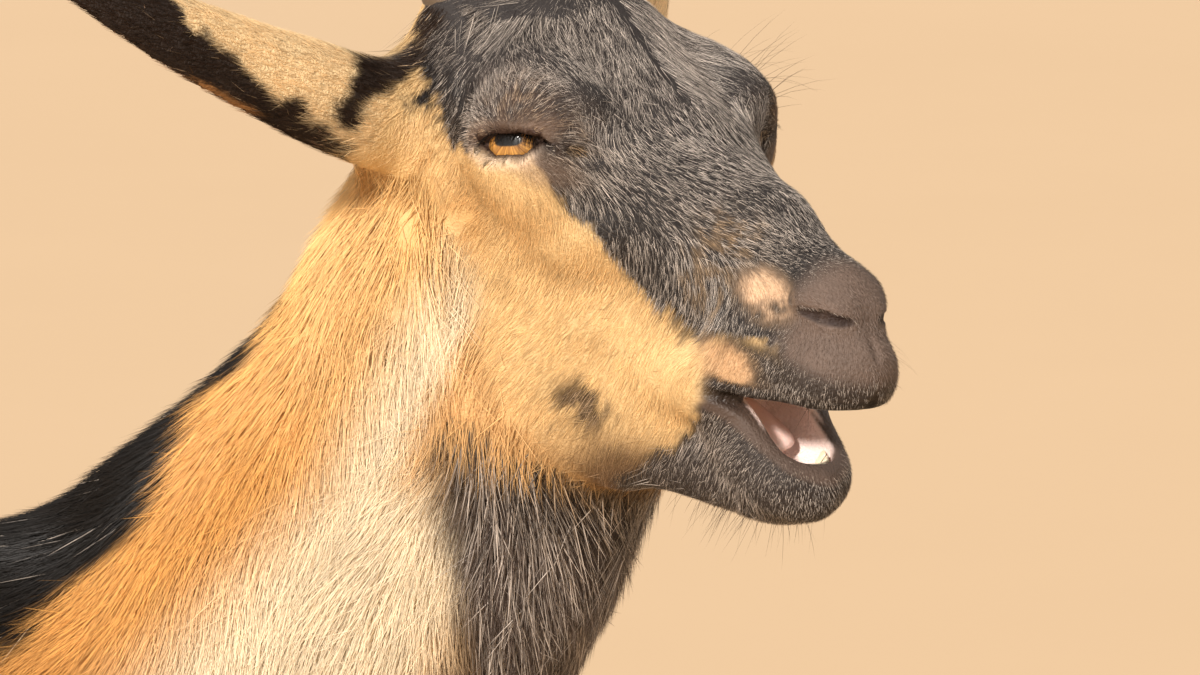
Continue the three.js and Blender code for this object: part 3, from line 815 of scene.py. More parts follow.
@dataclass
class Skin:
    """The goat's skin: one mesh inside the coat from the nose to the hooves."""

    head: AnimalFrame
    body: AnimalFrame
    ears: tuple[Ear, Ear]
    grain: float = 2.2  # size of the faces on the head
    close: float = 1.0  # how far the flesh is grown so that the cuts between its nodes close
    form: HeadForm = field(init=False)
    piece: bpy.types.Object | None = None

    def __post_init__(self) -> None:
        """Sets up the form that the head is drawn onto."""
        self.form = HeadForm(self.head, self.body)
        self.form.solid += [limb for ear in self.ears for limb in ear.base()]

    def nape(self, points: np.ndarray) -> np.ndarray:
        """How far points of the row's frame are in front of the cut behind the head."""
        local = self.head.local(points)
        return (local - (-88, 0, 4)) @ np.array([0.719, 0, 0.695])

    def on_head(self, points: np.ndarray) -> np.ndarray:
        """1 on the head and 0 on the body, with a soft step behind the jaw."""
        return smooth(2, 26, self.nape(points))

    def on_ear(self, points: np.ndarray, rim: float = 0.0) -> np.ndarray:
        """1 on the ears beyond their roots, falling to 0 within rim millimetres of them."""
        local = self.head.local(points)
        total = np.zeros(len(points))
        near = (np.abs(local[:, 1]) > 26) & (local[:, 0] < -14) & (self.nape(points) > -170)
        for ear in self.ears:
            some = near & (local[:, 1] * ear.side.value > 0)
            t, _, away, _ = ear.place_on(local[some])
            held = smooth(0.11, 0.19, t) * (1 - smooth(4, 5 + rim, away))
            total[some] = np.maximum(total[some], held)
        return total

    def build(self, nodes: dict[str, bpy.types.Object]) -> bpy.types.Object:
        """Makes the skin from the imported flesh.

        Args:
            nodes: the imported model's nodes by name.

        Returns:
            The skin, which replaces the flesh nodes.
        """
        self.piece = self.joined(nodes)
        self.remesh()
        self.open_mouth()
        self.remesh()
        self.settle(rounds=8, fine=False, ease=3, eared=False)
        self.add_ears()
        self.remesh()
        self.settle(rounds=4, fine=False, ease=2)
        self.thin()
        self.smooth_body()
        self.refine()
        self.settle(rounds=5, fine=True)
        self.sink()
        faces = self.piece.data.polygons
        faces.foreach_set("use_smooth", np.ones(len(faces), bool))
        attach(self.piece, "root")
        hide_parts(*FLESH, "ear_left", "ear_right")
        return self.piece

    def remesh(self) -> None:
        """Gives the skin one closed mesh of even faces."""
        applied(self.piece, "REMESH", mode="VOXEL", voxel_size=self.grain * MM)

    def joined(self, nodes: dict[str, bpy.types.Object]) -> bpy.types.Object:
        """The flesh nodes' shapes in one mesh, grown a little so that they overlap."""
        bm = bmesh.new()
        for name in FLESH:
            bm.from_mesh(nodes[name].data)
        bmesh.ops.remove_doubles(bm, verts=bm.verts, dist=1e-5)
        bm.normal_update()
        for vert in bm.verts:
            vert.co += vert.normal * self.close * MM
        for limb in (*self.form.solid, *self.form.lids):
            join(bm, limb.mesh(self.head))
        return from_bmesh("skin", bm)

    def open_mouth(self) -> None:
        """Cuts the gape and the hollows behind the lips out of the closed mouth."""
        bm = bmesh.new()
        for _, limb in self.form.mouth_cuts():
            join(bm, limb.mesh(self.head))
        cutter = from_bmesh("gape", bm)
        applied(cutter, "REMESH", mode="VOXEL", voxel_size=1.5 * MM)
        applied(self.piece, "BOOLEAN", operation="DIFFERENCE", solver="MANIFOLD", object=cutter)
        bpy.data.objects.remove(cutter)

    def add_ears(self) -> None:
        """Puts the ears on their roots, which are drawn out from the head by now."""
        bm = bmesh.new()
        bm.from_mesh(self.piece.data)
        for ear in self.ears:
            join(bm, ear.mesh(self.head))
        bm.to_mesh(self.piece.data)
        bm.free()

    def settle(self, rounds: int, fine: bool, ease: int = 0, eared: bool = True) -> None:
        """Draws the head's part of the skin onto the head's form and evens out its faces.

        Args:
            rounds: how often.
            fine: whether the lids and other small folds are drawn too.
            ease: how often it's smoothed before that.
            eared: whether the ears are on it and are left alone.
        """
        relief = Relief(self.piece.data)
        held = self.on_head(relief.points)
        if eared:
            held = held * (1 - self.on_ear(relief.points, rim=12))
        chosen = np.nonzero(held > 0.001)[0]
        weight = held[chosen, None]
        for _ in range(ease):
            pull = relief.around(relief.points)[chosen] - relief.points[chosen]
            relief.points[chosen] += pull * 0.7 * weight
        for turn in range(rounds):
            last = turn == rounds - 1
            local = self.head.local(relief.points[chosen])
            for _ in range(2 if last else 1):
                here = self.form.distance(local, fine)
                slope = self.form.slope(local, here, fine)
                move = -here[:, None] * slope / np.maximum(dot(slope, slope), 0.1)
                length = np.linalg.norm(move, axis=1, keepdims=True)
                local += move * np.minimum(1, 3.0 / np.maximum(length, 1e-9)) * weight
            relief.points[chosen] = self.head.world(local)
            if not last:
                pull = relief.around(relief.points)[chosen] - relief.points[chosen]
                way = self.head.turn(unit(slope))
                relief.points[chosen] += (pull - way * dot(pull, way)) * 0.6 * weight
        relief.write()

    def thin(self, share: float = 0.22) -> None:
        """Takes faces away from the body, where the coat hides its form, and none from the head."""
        points = coordinates(self.piece.data)
        kept = np.maximum(self.on_head(points), self.on_ear(points))
        kept = np.where(self.nape(points) > -12, 1.0, kept)
        group = self.piece.vertex_groups.new(name="body")
        group.add([int(i) for i in np.nonzero(kept < 0.5)[0]], 1.0, "REPLACE")
        applied(self.piece, "DECIMATE", ratio=share, vertex_group="body", vertex_group_factor=1.0)
        self.piece.vertex_groups.clear()

    def smooth_body(self) -> None:
        """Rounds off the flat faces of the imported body, less on the slender legs."""
        relief = Relief(self.piece.data)
        place_on_body = self.body.local(relief.points)
        weight = 1 - self.on_head(relief.points)
        leg = 1 - smooth(330, 400, place_on_body[:, 2])
        relief.even(weight * (1 - 0.75 * leg), 60)
        relief.write()
        self.settle_ears()

    def settle_ears(self) -> None:
        """Draws the ears' part of the skin onto the ears and rounds the corner where they meet the head."""
        relief = Relief(self.piece.data)
        relief.even(self.on_ear(relief.points, rim=14), 10)
        for ear in self.ears:
            bm = ear.mesh(self.head)
            tree = BVHTree.FromBMesh(bm)
            bm.free()
            local = self.head.local(relief.points)
            near = (local[:, 1] * ear.side.value > 44) & (self.nape(relief.points) > -170)
            some = np.nonzero(near)[0]
            t, _, away, _ = ear.place_on(local[some])
            weight = smooth(0.33, 0.4, t) * (away < 8)
            for i, share in zip(some[weight > 0], weight[weight > 0]):
                found = tree.find_nearest(relief.points[i])[0]
                relief.points[i] += (np.array(found) - relief.points[i]) * share
        relief.even(self.on_ear(relief.points, rim=10), 6)
        relief.write()

    def refine(self) -> None:
        """Splits the faces where the lids, the nose and the lips need them."""
        for with_nose, reach in ((True, 20.0), (False, 14.0)):
            bm = bmesh.new()
            bm.from_mesh(self.piece.data)
            bmesh.ops.triangulate(bm, faces=bm.faces)
            bm.verts.ensure_lookup_table()
            local = self.head.local(np.array([v.co for v in bm.verts]))
            near = np.zeros(len(local), bool)
            if with_nose:
                near |= (local[:, 0] > 88) & (local[:, 2] > -66) & (local[:, 2] < 4)
            for side in SIDES:
                centre, gaze, _, _ = self.form.socket.axes(side)
                middle = centre + gaze * 10
                near |= ((local - middle) ** 2).sum(1) < reach**2
            edges = [e for e in bm.edges if near[e.verts[0].index] and near[e.verts[1].index]]
            bmesh.ops.subdivide_edges(bm, edges=edges, cuts=1, use_grid_fill=False)
            bmesh.ops.triangulate(bm, faces=bm.faces)
            bm.to_mesh(self.piece.data)
            bm.free()

    def depth(self, points: np.ndarray) -> np.ndarray:
        """The coat's depth over the skin, in millimetres."""
        local, on_body = self.head.local(points), self.body.local(points)
        head = self.on_head(points)
        face = 0.5 + 0.9 * smooth(60, -20, local[:, 0]) + 0.5 * smooth(-40, -90, local[:, 2])
        for away in self.form.from_eyes(local, 12):
            face = face * smooth(10, 26, away) + 0.1 * (1 - smooth(10, 26, away))
        trunk = 4.5 - 3.3 * smooth(380, 260, on_body[:, 2])
        trunk = trunk - 2.4 * smooth(40, 110, on_body[:, 0])
        deep = face * head + trunk * (1 - head)
        return np.where(self.on_ear(points) > 0.3, 0.3, deep)

    def sink(self) -> None:
        """Moves the skin inwards by the coat's depth."""
        relief = Relief(self.piece.data)
        deep = self.depth(relief.points)
        relief.points -= normals(self.piece.data) * deep[:, None] * MM
        relief.write()


# ---- Markings ----
@dataclass
class Markings:
    """The coat's colours by place, which the skin and the tufts share."""

    head: AnimalFrame
    body: AnimalFrame
    ears: tuple[Ear, Ear]
    skin: Skin
    # The mask's lower edge, as x and height.
    mask_edge: tuple[Pair, ...] = (
        (-33, -16), (-27, -12.5), (-13, -6), (-7, -4), (4, 1), (13, 3), (17, -1), (20, -7),
        (23.2, -11.4), (27, -14.3), (31.2, -16.5), (36.6, -22.2), (42, -27), (50, -29.5), (64, -32.9),
        (76, -34.8), (84.6, -26.5), (96, -21), (108, -18.7), (114, -24.6), (118, -40),
    )  # fmt: skip
    # The back edges of the mask and of the black chin, as height and x.
    mask_back: tuple[Pair, ...] = ((-16, -30), (-5, -43), (9, -57), (22, -68), (40, -82))
    chin_back: tuple[Pair, ...] = ((-94, 52), (-77, 66.7), (-68.4, 75), (-57.6, 83), (-43, 91.5))
    # The ear's black edge, as the share of its length and the share across.
    ear_edge: tuple[Pair, ...] = (
        (0.1, -1.0), (0.22, -0.85), (0.38, -0.62), (0.55, -0.44), (0.7, -0.1), (0.8, 0.5), (0.88, 1.5),
    )  # fmt: skip
    # By millimetres up the neck: the bend of its line, half its depth, and the edges of the black
    # throat and nape as shares of that depth.
    neck_bend: tuple[Pair, ...] = ((0, 0), (83, 3.9), (160, 14), (219, 7.7))
    neck_deep: tuple[Pair, ...] = ((0, 112), (83, 90), (160, 74), (219, 69), (255, 62))
    throat_edge: tuple[Pair, ...] = (
        (-60, 0.72), (130, 0.7), (157, 0.63), (176, 0.44), (190, 0.34), (200, 0.28), (207, 0.45), (215, 1.0),
    )  # fmt: skip
    nape_edge: tuple[Pair, ...] = (
        (30, -0.62), (60, -0.6), (105, -0.66), (122, -0.84), (145, -0.93), (180, -0.97), (240, -1.0),
    )  # fmt: skip

    @staticmethod
    def paint(colours: np.ndarray, share: np.ndarray, code: str) -> None:
        """Mixes a colour in by its share at each point."""
        mix_in(colours, share, linear(code))

    @staticmethod
    def spot(local: np.ndarray, centre: Triple, size: Triple, soft: float = 0.35) -> np.ndarray:
        """1 inside an ellipsoid round a centre on either side, falling to 0 over the share soft."""
        offset = (folded(local) - centre) / size
        return 1 - smooth(1 - soft, 1 + soft, np.linalg.norm(offset, axis=1))

    def at(self, points: np.ndarray) -> np.ndarray:
        """The coat's colour at places of the row's frame.

        Args:
            points: places near the skin, in metres.

        Returns:
            Linear colours, one row each.
        """
        colours = np.tile(linear("DFAE6C"), (len(points), 1))
        on_head = self.skin.on_head(points)
        self.on_body(colours, points)
        head = np.tile(linear("ECC68D"), (len(points), 1))
        self.on_face(head, points)
        colours += (head - colours) * on_head[:, None]
        self.on_ears(colours, points)
        speck = value_noise(points / MM, 2.6, 7) * 0.16
        speck = speck + value_noise(points / MM, 9, 8) * 0.12 + 0.86
        return colours * speck[:, None]

    def on_face(self, colours: np.ndarray, points: np.ndarray) -> None:
        """Paints the head: black mask, tan cheeks, pale spots, black chin, bare nose and mouth."""
        local = self.head.local(points)
        x, y, z = local.T
        paint, spot = partial(self.paint, colours), partial(self.spot, local)
        rag = (value_noise(local, 5, 1) - 0.5) * 7 + (value_noise(local, 1.8, 2) - 0.5) * 4
        lids = [np.array((2, s * 50, 1)) for s in SIDES]
        lid = np.min([np.linalg.norm(local - middle, axis=1) for middle in lids], axis=0)
        rag *= 0.25 + 0.75 * smooth(10, 22, lid)
        paint(self.spot(local + rag[:, None] * 1.5, (39, 30, -73), (11, 30, 8), 0.5) * 0.9, "3B2A1E")
        # A darker patch on the bulge low behind the eye: painted shade that tones down where it faces the
        # light.
        paint(spot((-18.6, 47, -35), (10, 12, 10), 0.8) * 0.6, "D29C58")
        above = z - follow(self.mask_edge, x)
        before = x - follow(self.mask_back, z)
        mask = smooth(-1.5, 2.0, np.minimum(above, before * 0.8) + rag)
        paint(mask, "2B2625")
        # The black a little lighter on the top of the head: painted sheen.
        paint(mask * smooth(2, 16, z) * smooth(45, 15, x), "342E2D")
        brown = value_noise(local, 2.2, 5) * 1.4
        paint(spot((2, 46, 14), (20, 16, 9), 0.8) * brown * 0.35, "7A5C48")
        paint(spot((15, 46, 0), (10, 12, 5), 0.6) * 0.6, "8E7767")
        paint(spot((73, 20, -8), (11, 16, 17), 0.7) * smooth(0.5, 1.2, brown) * 0.5, "A08464")
        before = x - follow(self.chin_back, z)
        chin = np.minimum(before, (-38 - z) * 1.2) + rag * 0.8
        # Dark brown under the back of the jaw: its own colour, deepened by painted shade.
        paint(smooth(-38, 0, chin) * smooth(-62, -84, z) * 0.85, "4A2A19")
        # Darker towards the jaw's lower edge: painted shade under the jaw.
        paint(smooth(-80, -102, z + rag * 0.6) * 0.5, "5F3D22")
        paint(smooth(-2, 3, chin), "39302C")
        paint(smooth(82, 92, x) * smooth(-18, -26, z) * smooth(-45, -38, z), "332A24")
        paint(spot((93, 22, -33), (14, 14, 6.5), 0.5) * smooth(-6, 1, rag), "D9B085")
        paint(spot((96, 22, -7.5), (13, 13, 7.5), 0.5) * smooth(-5, 2, rag), "E9C4A0")
        paint(smooth(100, 114, x) * smooth(-30, -18, z) * (y**2 < 900), "776459")
        paint(smooth(98, 108, x) * smooth(-18, -24, z) * smooth(-50, -44, z) * 0.8, "3B322D")
        self.on_folds(colours, local)

    def on_folds(self, colours: np.ndarray, local: np.ndarray) -> None:
        """Paints the lids, the nostrils, the rim of the lips and the lining of the mouth."""
        form = self.skin.form
        paint = partial(self.paint, colours)
        for side in SIDES:
            centre, gaze, along, up = form.socket.axes(side)
            offset = local - centre + up * form.socket.lowered
            a, b = offset @ along, offset @ up
            near = smooth(26, 20, np.linalg.norm(offset - gaze * 10, axis=1))
            rim = np.hypot(np.maximum(np.abs(a) - 7, 0) * 0.65, b + 0.5 - 0.012 * a**2)
            paint(near * smooth(9, 3.5, rim) * (b > 0) * 0.5, "A08470")
            paint(near * smooth(10, 4.5, rim) * (b <= 0) * smooth(16, 4, a) * 0.8, "E0C6AE")
            paint(near * smooth(4.2, 3.8, rim), "4A3328")
            for fold in form.tear_fold(side):
                # The fold from the inner corner drawn as a dark line: painted shade in the crease.
                paint(smooth(2.2, 1.0, fold.distance(local)), "1D130E")
        # The nostrils darkened inside: painted shade in the openings.
        for size, limb in form.nose_cuts():
            paint(smooth(1.2, 0.2, limb.distance(local)) * (size < 2), "2B1B18")
        mouth = nearest(form.mouth_cuts(), local)
        x, y, z = local.T
        lips = smooth(5.5, 4, mouth) * smooth(84, 92, x)
        paint(lips, "66544A")
        paint(lips * smooth(-48, -44, z), "2E2622")
        inside = smooth(13.4, 12.0, np.abs(y)) * smooth(123, 119, x)
        inside = inside * smooth(115.5, 109.5, x + (z + 50) * 0.4)
        paint(smooth(2.0, 0.8, mouth) * inside, "F6DED6")

    def on_ears(self, colours: np.ndarray, points: np.ndarray) -> None:
        """Paints the ears: tan backs, a black lower half and tip, and a pale hollow."""
        local = self.head.local(points)
        for ear in self.ears:
            some = ear.beside(local)
            t, across, away, inner = ear.place_on(local[some])
            on = smooth(0.22, 0.3, t) * (away < 6)
            rag = (value_noise(local[some], 6, 4) - 0.5) * 0.35
            part = colours[some]
            paint = partial(self.paint, part)
            paint(on, "FFDFAC")
            edge = follow(self.ear_edge, t)
            paint(on * smooth(-0.08, 0.08, edge - across + rag), "2C1E15")
            gap = smooth(0.1, 0.06, np.abs(t - 0.58)) * smooth(0.07, 0.04, np.abs(across + 0.88))
            paint(gap * on, "A87848")
            paint(on * inner * smooth(0.92, 0.8, t), "C9A68C")
            s = ear.side.value
            line = [(-59, s * 46, 16), (-58, s * 58, 3), (-48, s * 76, -8)]
            streak = chain(line, [(8, 8), (8, 8), (6, 6)])
            away = np.min([limb.distance(local[some]) for limb in streak], axis=0)
            paint(smooth(2, -2, away + rag * 20), "2C1E15")
            colours[some] = part

    def on_body(self, colours: np.ndarray, points: np.ndarray) -> None:
        """Paints the neck, trunk, legs and tail."""
        body = self.body.local(points)
        z = body[:, 2]
        paint = partial(self.paint, colours)
        rag = (value_noise(body, 14, 11) - 0.5) * 2 + (value_noise(body, 5, 12) - 0.5)
        offset = body - NECK_FOOT
        s = offset @ NECK_LINE
        f = (offset @ THROAT_WAY - follow(self.neck_bend, s)) / follow(self.neck_deep, s)
        neck = smooth(-50, 10, s)
        paint(smooth(0.2, -0.5, f) * neck, "EAAE60")
        paint(smooth(130, 240, s), "F6C987")
        paint(smooth(-0.4, 0.05, f) * smooth(0.8, 0.5, f) * neck, "FCEACB")
        red = smooth(90, 20, s) * smooth(-90, -20, s) * smooth(360, 430, z)
        paint(red * smooth(0.9, 0.2, np.abs(f)) * 0.6, "B87A3E")
        self.trunk(colours, body, rag)
        paint(smooth(175, 200, s) * smooth(0, 0.2, f), "EEC084")
        throat = f - follow(self.throat_edge, s)
        paint(smooth(-0.08, 0.08, throat + rag * 0.08) * smooth(-90, -40, s), "564A44")
        # A dark band on the throat just under the jaw: painted shadow cast by the jaw.
        paint(smooth(0, 0.15, throat) * smooth(185, 203, s) * 0.75, "1E1713")
        edge = follow(self.nape_edge, s)
        paint(smooth(0.05, -0.05, f - edge + rag * 0.07) * smooth(0, 20, s), "120E0C")

    def trunk(self, colours: np.ndarray, body: np.ndarray, rag: np.ndarray) -> None:
        """Paints the trunk's black back stripe and side stripe, the pale belly, the legs and the tail.

        Args:
            colours: the colours so far, changed in place.
            body: places in the body's frame.
            rag: a noise that makes the edges ragged.
        """
        x, y, z = body.T
        paint = partial(self.paint, colours)
        trunk = smooth(60, -20, x)
        paint(trunk * smooth(560, 470, z) * 0.5, "A3713F")
        beyond = np.abs(y) - follow(((-120, 22), (-60, 34), (30, 62)), x) - rag * 6
        paint(smooth(50, 30, x) * smooth(505, 560, z) * smooth(8, -8, beyond), "120E0C")
        low = smooth(-10, 10, 412 - z - rag * 6)
        paint(low * smooth(330, 350, z), "E2C8A0")
        stripe = smooth(20, 4, np.abs(z - 420 + np.abs(x + 200) * 0.05) + np.abs(rag) * 9)
        paint(stripe * smooth(-450, -330, x) * trunk * 0.75, "35281F")
        leg = smooth(345, 315, z)
        hind = follow(((0, -480), (60, -488), (240, -520), (330, -480)), z)
        fore = follow(((0, 10), (60, 6)), z)
        front = smooth(-4, 6, x - np.where(x < -250, hind, fore) + rag * 2)
        paint(leg, "CFA673")
        paint(leg * front, "2F241D")
        paint(smooth(90, 70, z), "2F241D")
        tail = smooth(-575, -590, x) * smooth(560, 580, z)
        paint(tail, "2A2019")


# ---- The lie of the coat ----
@dataclass
class Lie:
    """Which way the hair points along the skin."""

    head: AnimalFrame
    body: AnimalFrame
    ears: tuple[Ear, Ear]
    skin: Skin

    def at(self, points: np.ndarray, out: np.ndarray) -> np.ndarray:
        """The hair's direction along the skin.

        Args:
            points: places on the skin, in metres.
            out: the skin's normals there.

        Returns:
            Unit directions in the row's frame, square to the normals.
        """
        share = self.skin.on_head(points)[:, None]
        ways = self.head.turn(self.on_face(self.head.local(points))) * share
        ways += self.on_body(self.body.local(points)) * (1 - share)
        local = self.head.local(points)
        for ear in self.ears:
            some = ear.beside(local)
            t, _, away, _ = ear.place_on(local[some])
            along = self.head.turn(ear.axes(t)[1])
            held = (smooth(0.16, 0.28, t) * smooth(10, 4, away))[:, None]
            ways[some] = ways[some] * (1 - held) + along * held
        return unit(ways - out * dot(ways, out))

    @staticmethod
    def mirror(y: np.ndarray) -> np.ndarray:
        """What a direction of the left side is multiplied by, for places at these y."""
        return np.stack([np.ones(len(y)), np.sign(y), np.ones(len(y))], 1)

    def on_face(self, local: np.ndarray) -> np.ndarray:
        """Directions in the head's frame for places in it."""
        x, y, z = local.T
        ways = np.tile((-0.35, 0.0, -0.94), (len(local), 1))
        lay = partial(mix_in, ways)
        lay(smooth(15, -20, x) * smooth(-30, -60, z), (0.3, 0, -0.95))
        lay(smooth(30, 60, x) * smooth(-10, -30, z), (-0.2, 0, -0.98))
        lay(smooth(-30, -12, z) * smooth(10, 30, x), (0.35, 0, -0.9))
        lay(smooth(-16, 4, z) * smooth(5, 30, x), (1, 0, 0))
        front = self.mirror(y) * (0.95, 0.4, -0.2)
        lay(smooth(-2, 12, z) * smooth(-50, -20, x) * smooth(30, 5, x), front)
        for side in SIDES:
            centre, gaze, _, _ = self.skin.form.socket.axes(side)
            offset = local - centre - gaze * 13
            lay(smooth(30, 12, np.linalg.norm(offset, axis=1)), unit(offset))
        lay(smooth(100, 112, x) * smooth(-8, -16, z), (0.1, 0, -1))
        return ways

    def on_body(self, body: np.ndarray) -> np.ndarray:
        """Directions in the body's frame for places in it."""
        x, y, z = body.T
        ways = np.tile((-0.9, 0.0, -0.4), (len(body), 1))
        lay = partial(mix_in, ways)
        lay(smooth(-60, 0, x), (-0.35, 0, -0.94))
        s, q = (body - NECK_FOOT) @ NECK_LINE, (body - NECK_FOOT) @ THROAT_WAY
        lay(smooth(-20, 60, s), (-0.05, 0, -1))
        lay(smooth(-20, 60, s) * smooth(0, -60, q), (-0.57, 0, -0.82))
        lay(smooth(-30, 20, s) * smooth(-52, -74, q), (-0.95, 0, -0.3))
        fan = body - self.mirror(y) * (214.0, 36, 672.0)
        fan[:, 2] -= 20
        away = np.linalg.norm(fan, axis=1)
        lay(smooth(150, 70, away) * smooth(0, 30, q) * smooth(225, 195, s), unit(fan))
        lay(smooth(560, 600, z) * smooth(40, -20, x), (-1, 0, -0.1))
        lay(smooth(400, 340, z), (-0.1, 0, -1))
        lay(smooth(-560, -580, x) * smooth(560, 590, z), (-0.35, 0, 0.94))
        return ways


# ---- Hair as solid spikes ----
@dataclass
class Spikes:
    """Closed three-sided spikes along centre lines, all in one row of arrays."""

    lines: np.ndarray  # spikes, then places from root to tip, in metres
    width: np.ndarray  # half widths at the root
    out: np.ndarray  # the way away from the skin
    colours: np.ndarray
    roots: np.ndarray  # places on the skin's unwrap

    def part(self, chosen: np.ndarray) -> "Spikes":
        """Only the chosen spikes."""
        values = (self.lines, self.width, self.out, self.colours, self.roots)
        return Spikes(*(one[chosen] for one in values))

    def piece(self, name: str, flat: float = 0.5, patch: float = 0.0015) -> bpy.types.Object:
        """Makes the spikes one mesh.

        Args:
            name: the object's name.
            flat: their thickness as a share of their width.
            patch: half the size of each spike's place on the unwrap.

        Returns:
            The new object.
        """
        count, joints = len(self.lines), self.lines.shape[1] - 1
        rings = []
        turns = np.radians([90.0, 210.0, 330.0])
        for j in range(joints):
            along = unit(self.lines[:, j + 1] - self.lines[:, j])
            side = unit(np.cross(self.out, along))
            rise = np.cross(along, side)
            size = self.width * (1 - 0.85 * (j / joints) ** 1.5)
            ring = [np.cos(a) * side + np.sin(a) * flat * rise for a in turns]
            rings.append(self.lines[:, j, None] + np.stack(ring, 1) * size[:, None, None])
        points = np.concatenate([*rings, self.lines[:, -1:]], axis=1)
        per = points.shape[1]
        base = np.arange(count)[:, None] * per
        sides = ((0, 1), (1, 2), (2, 0))
        firsts = [3 * j for j in range(joints)]
        quads = [(j + a, j + b, j + 3 + b, j + 3 + a) for j in firsts[:-1] for a, b in sides]
        last = firsts[-1]
        tris = [(2, 1, 0), *((last + a, last + b, last + 3) for a, b in sides)]
        corners = [base + np.array(row) for row in (*tris, *quads)]
        sizes = np.repeat([len(row) for row in (*tris, *quads)], count)
        loops = np.concatenate([row.ravel() for row in corners])
        mesh = bpy.data.meshes.new(name)
        mesh.vertices.add(count * per)
        mesh.vertices.foreach_set("co", points.astype(np.float32).ravel())
        mesh.loops.add(len(loops))
        mesh.loops.foreach_set("vertex_index", loops.astype(np.int32))
        mesh.polygons.add(len(sizes))
        starts = np.concatenate([[0], np.cumsum(sizes)[:-1]])
        mesh.polygons.foreach_set("loop_start", starts.astype(np.int32))
        mesh.polygons.foreach_set("use_smooth", np.zeros(len(sizes), bool))
        mesh.update(calc_edges=True)
        ring_uv = np.array([(0, -1), (1, -1), (-1, -1)], float)
        spread = [ring_uv + (0, 2 * j / joints) for j in range(joints)]
        offsets = np.vstack([*spread, [(0, 1)]]) * patch
        uv = np.clip(self.roots[loops // per] + offsets[loops % per], 0, 1)
        unwrap = mesh.uv_layers.new(name="OFBake").data
        unwrap.foreach_set("uv", uv.astype(np.float32).ravel())
        # Painted shade at the roots, where the hairs shade each other, and painted light at the tips.
        painted_root_shade, painted_tip_light = 0.7, 1.12
        shade = np.repeat(np.linspace(painted_root_shade, 1.0, joints), 3)
        shade = np.concatenate([shade, [painted_tip_light]])
        store_tint(mesh, (self.colours[:, None] * shade[None, :, None]).reshape(-1, 3))
        return mesh_object(name, mesh)


@dataclass(frozen=True)
class Growth:
    """One layer of the coat: where it grows, how many tufts it has and how they are shaped."""

    name: str
    count: int
    width: float  # half width at the root, in millimetres
    lift: float  # how far the tips stand off the skin, in millimetres
    stray: float  # how much neighbours differ in direction
    glint: float  # share of the black hairs given a painted sheen (glint)


class Slot(Enum):
    """The two hair slots of the record."""

    BLACK = "coat_black"
    TAN = "coat_tan"


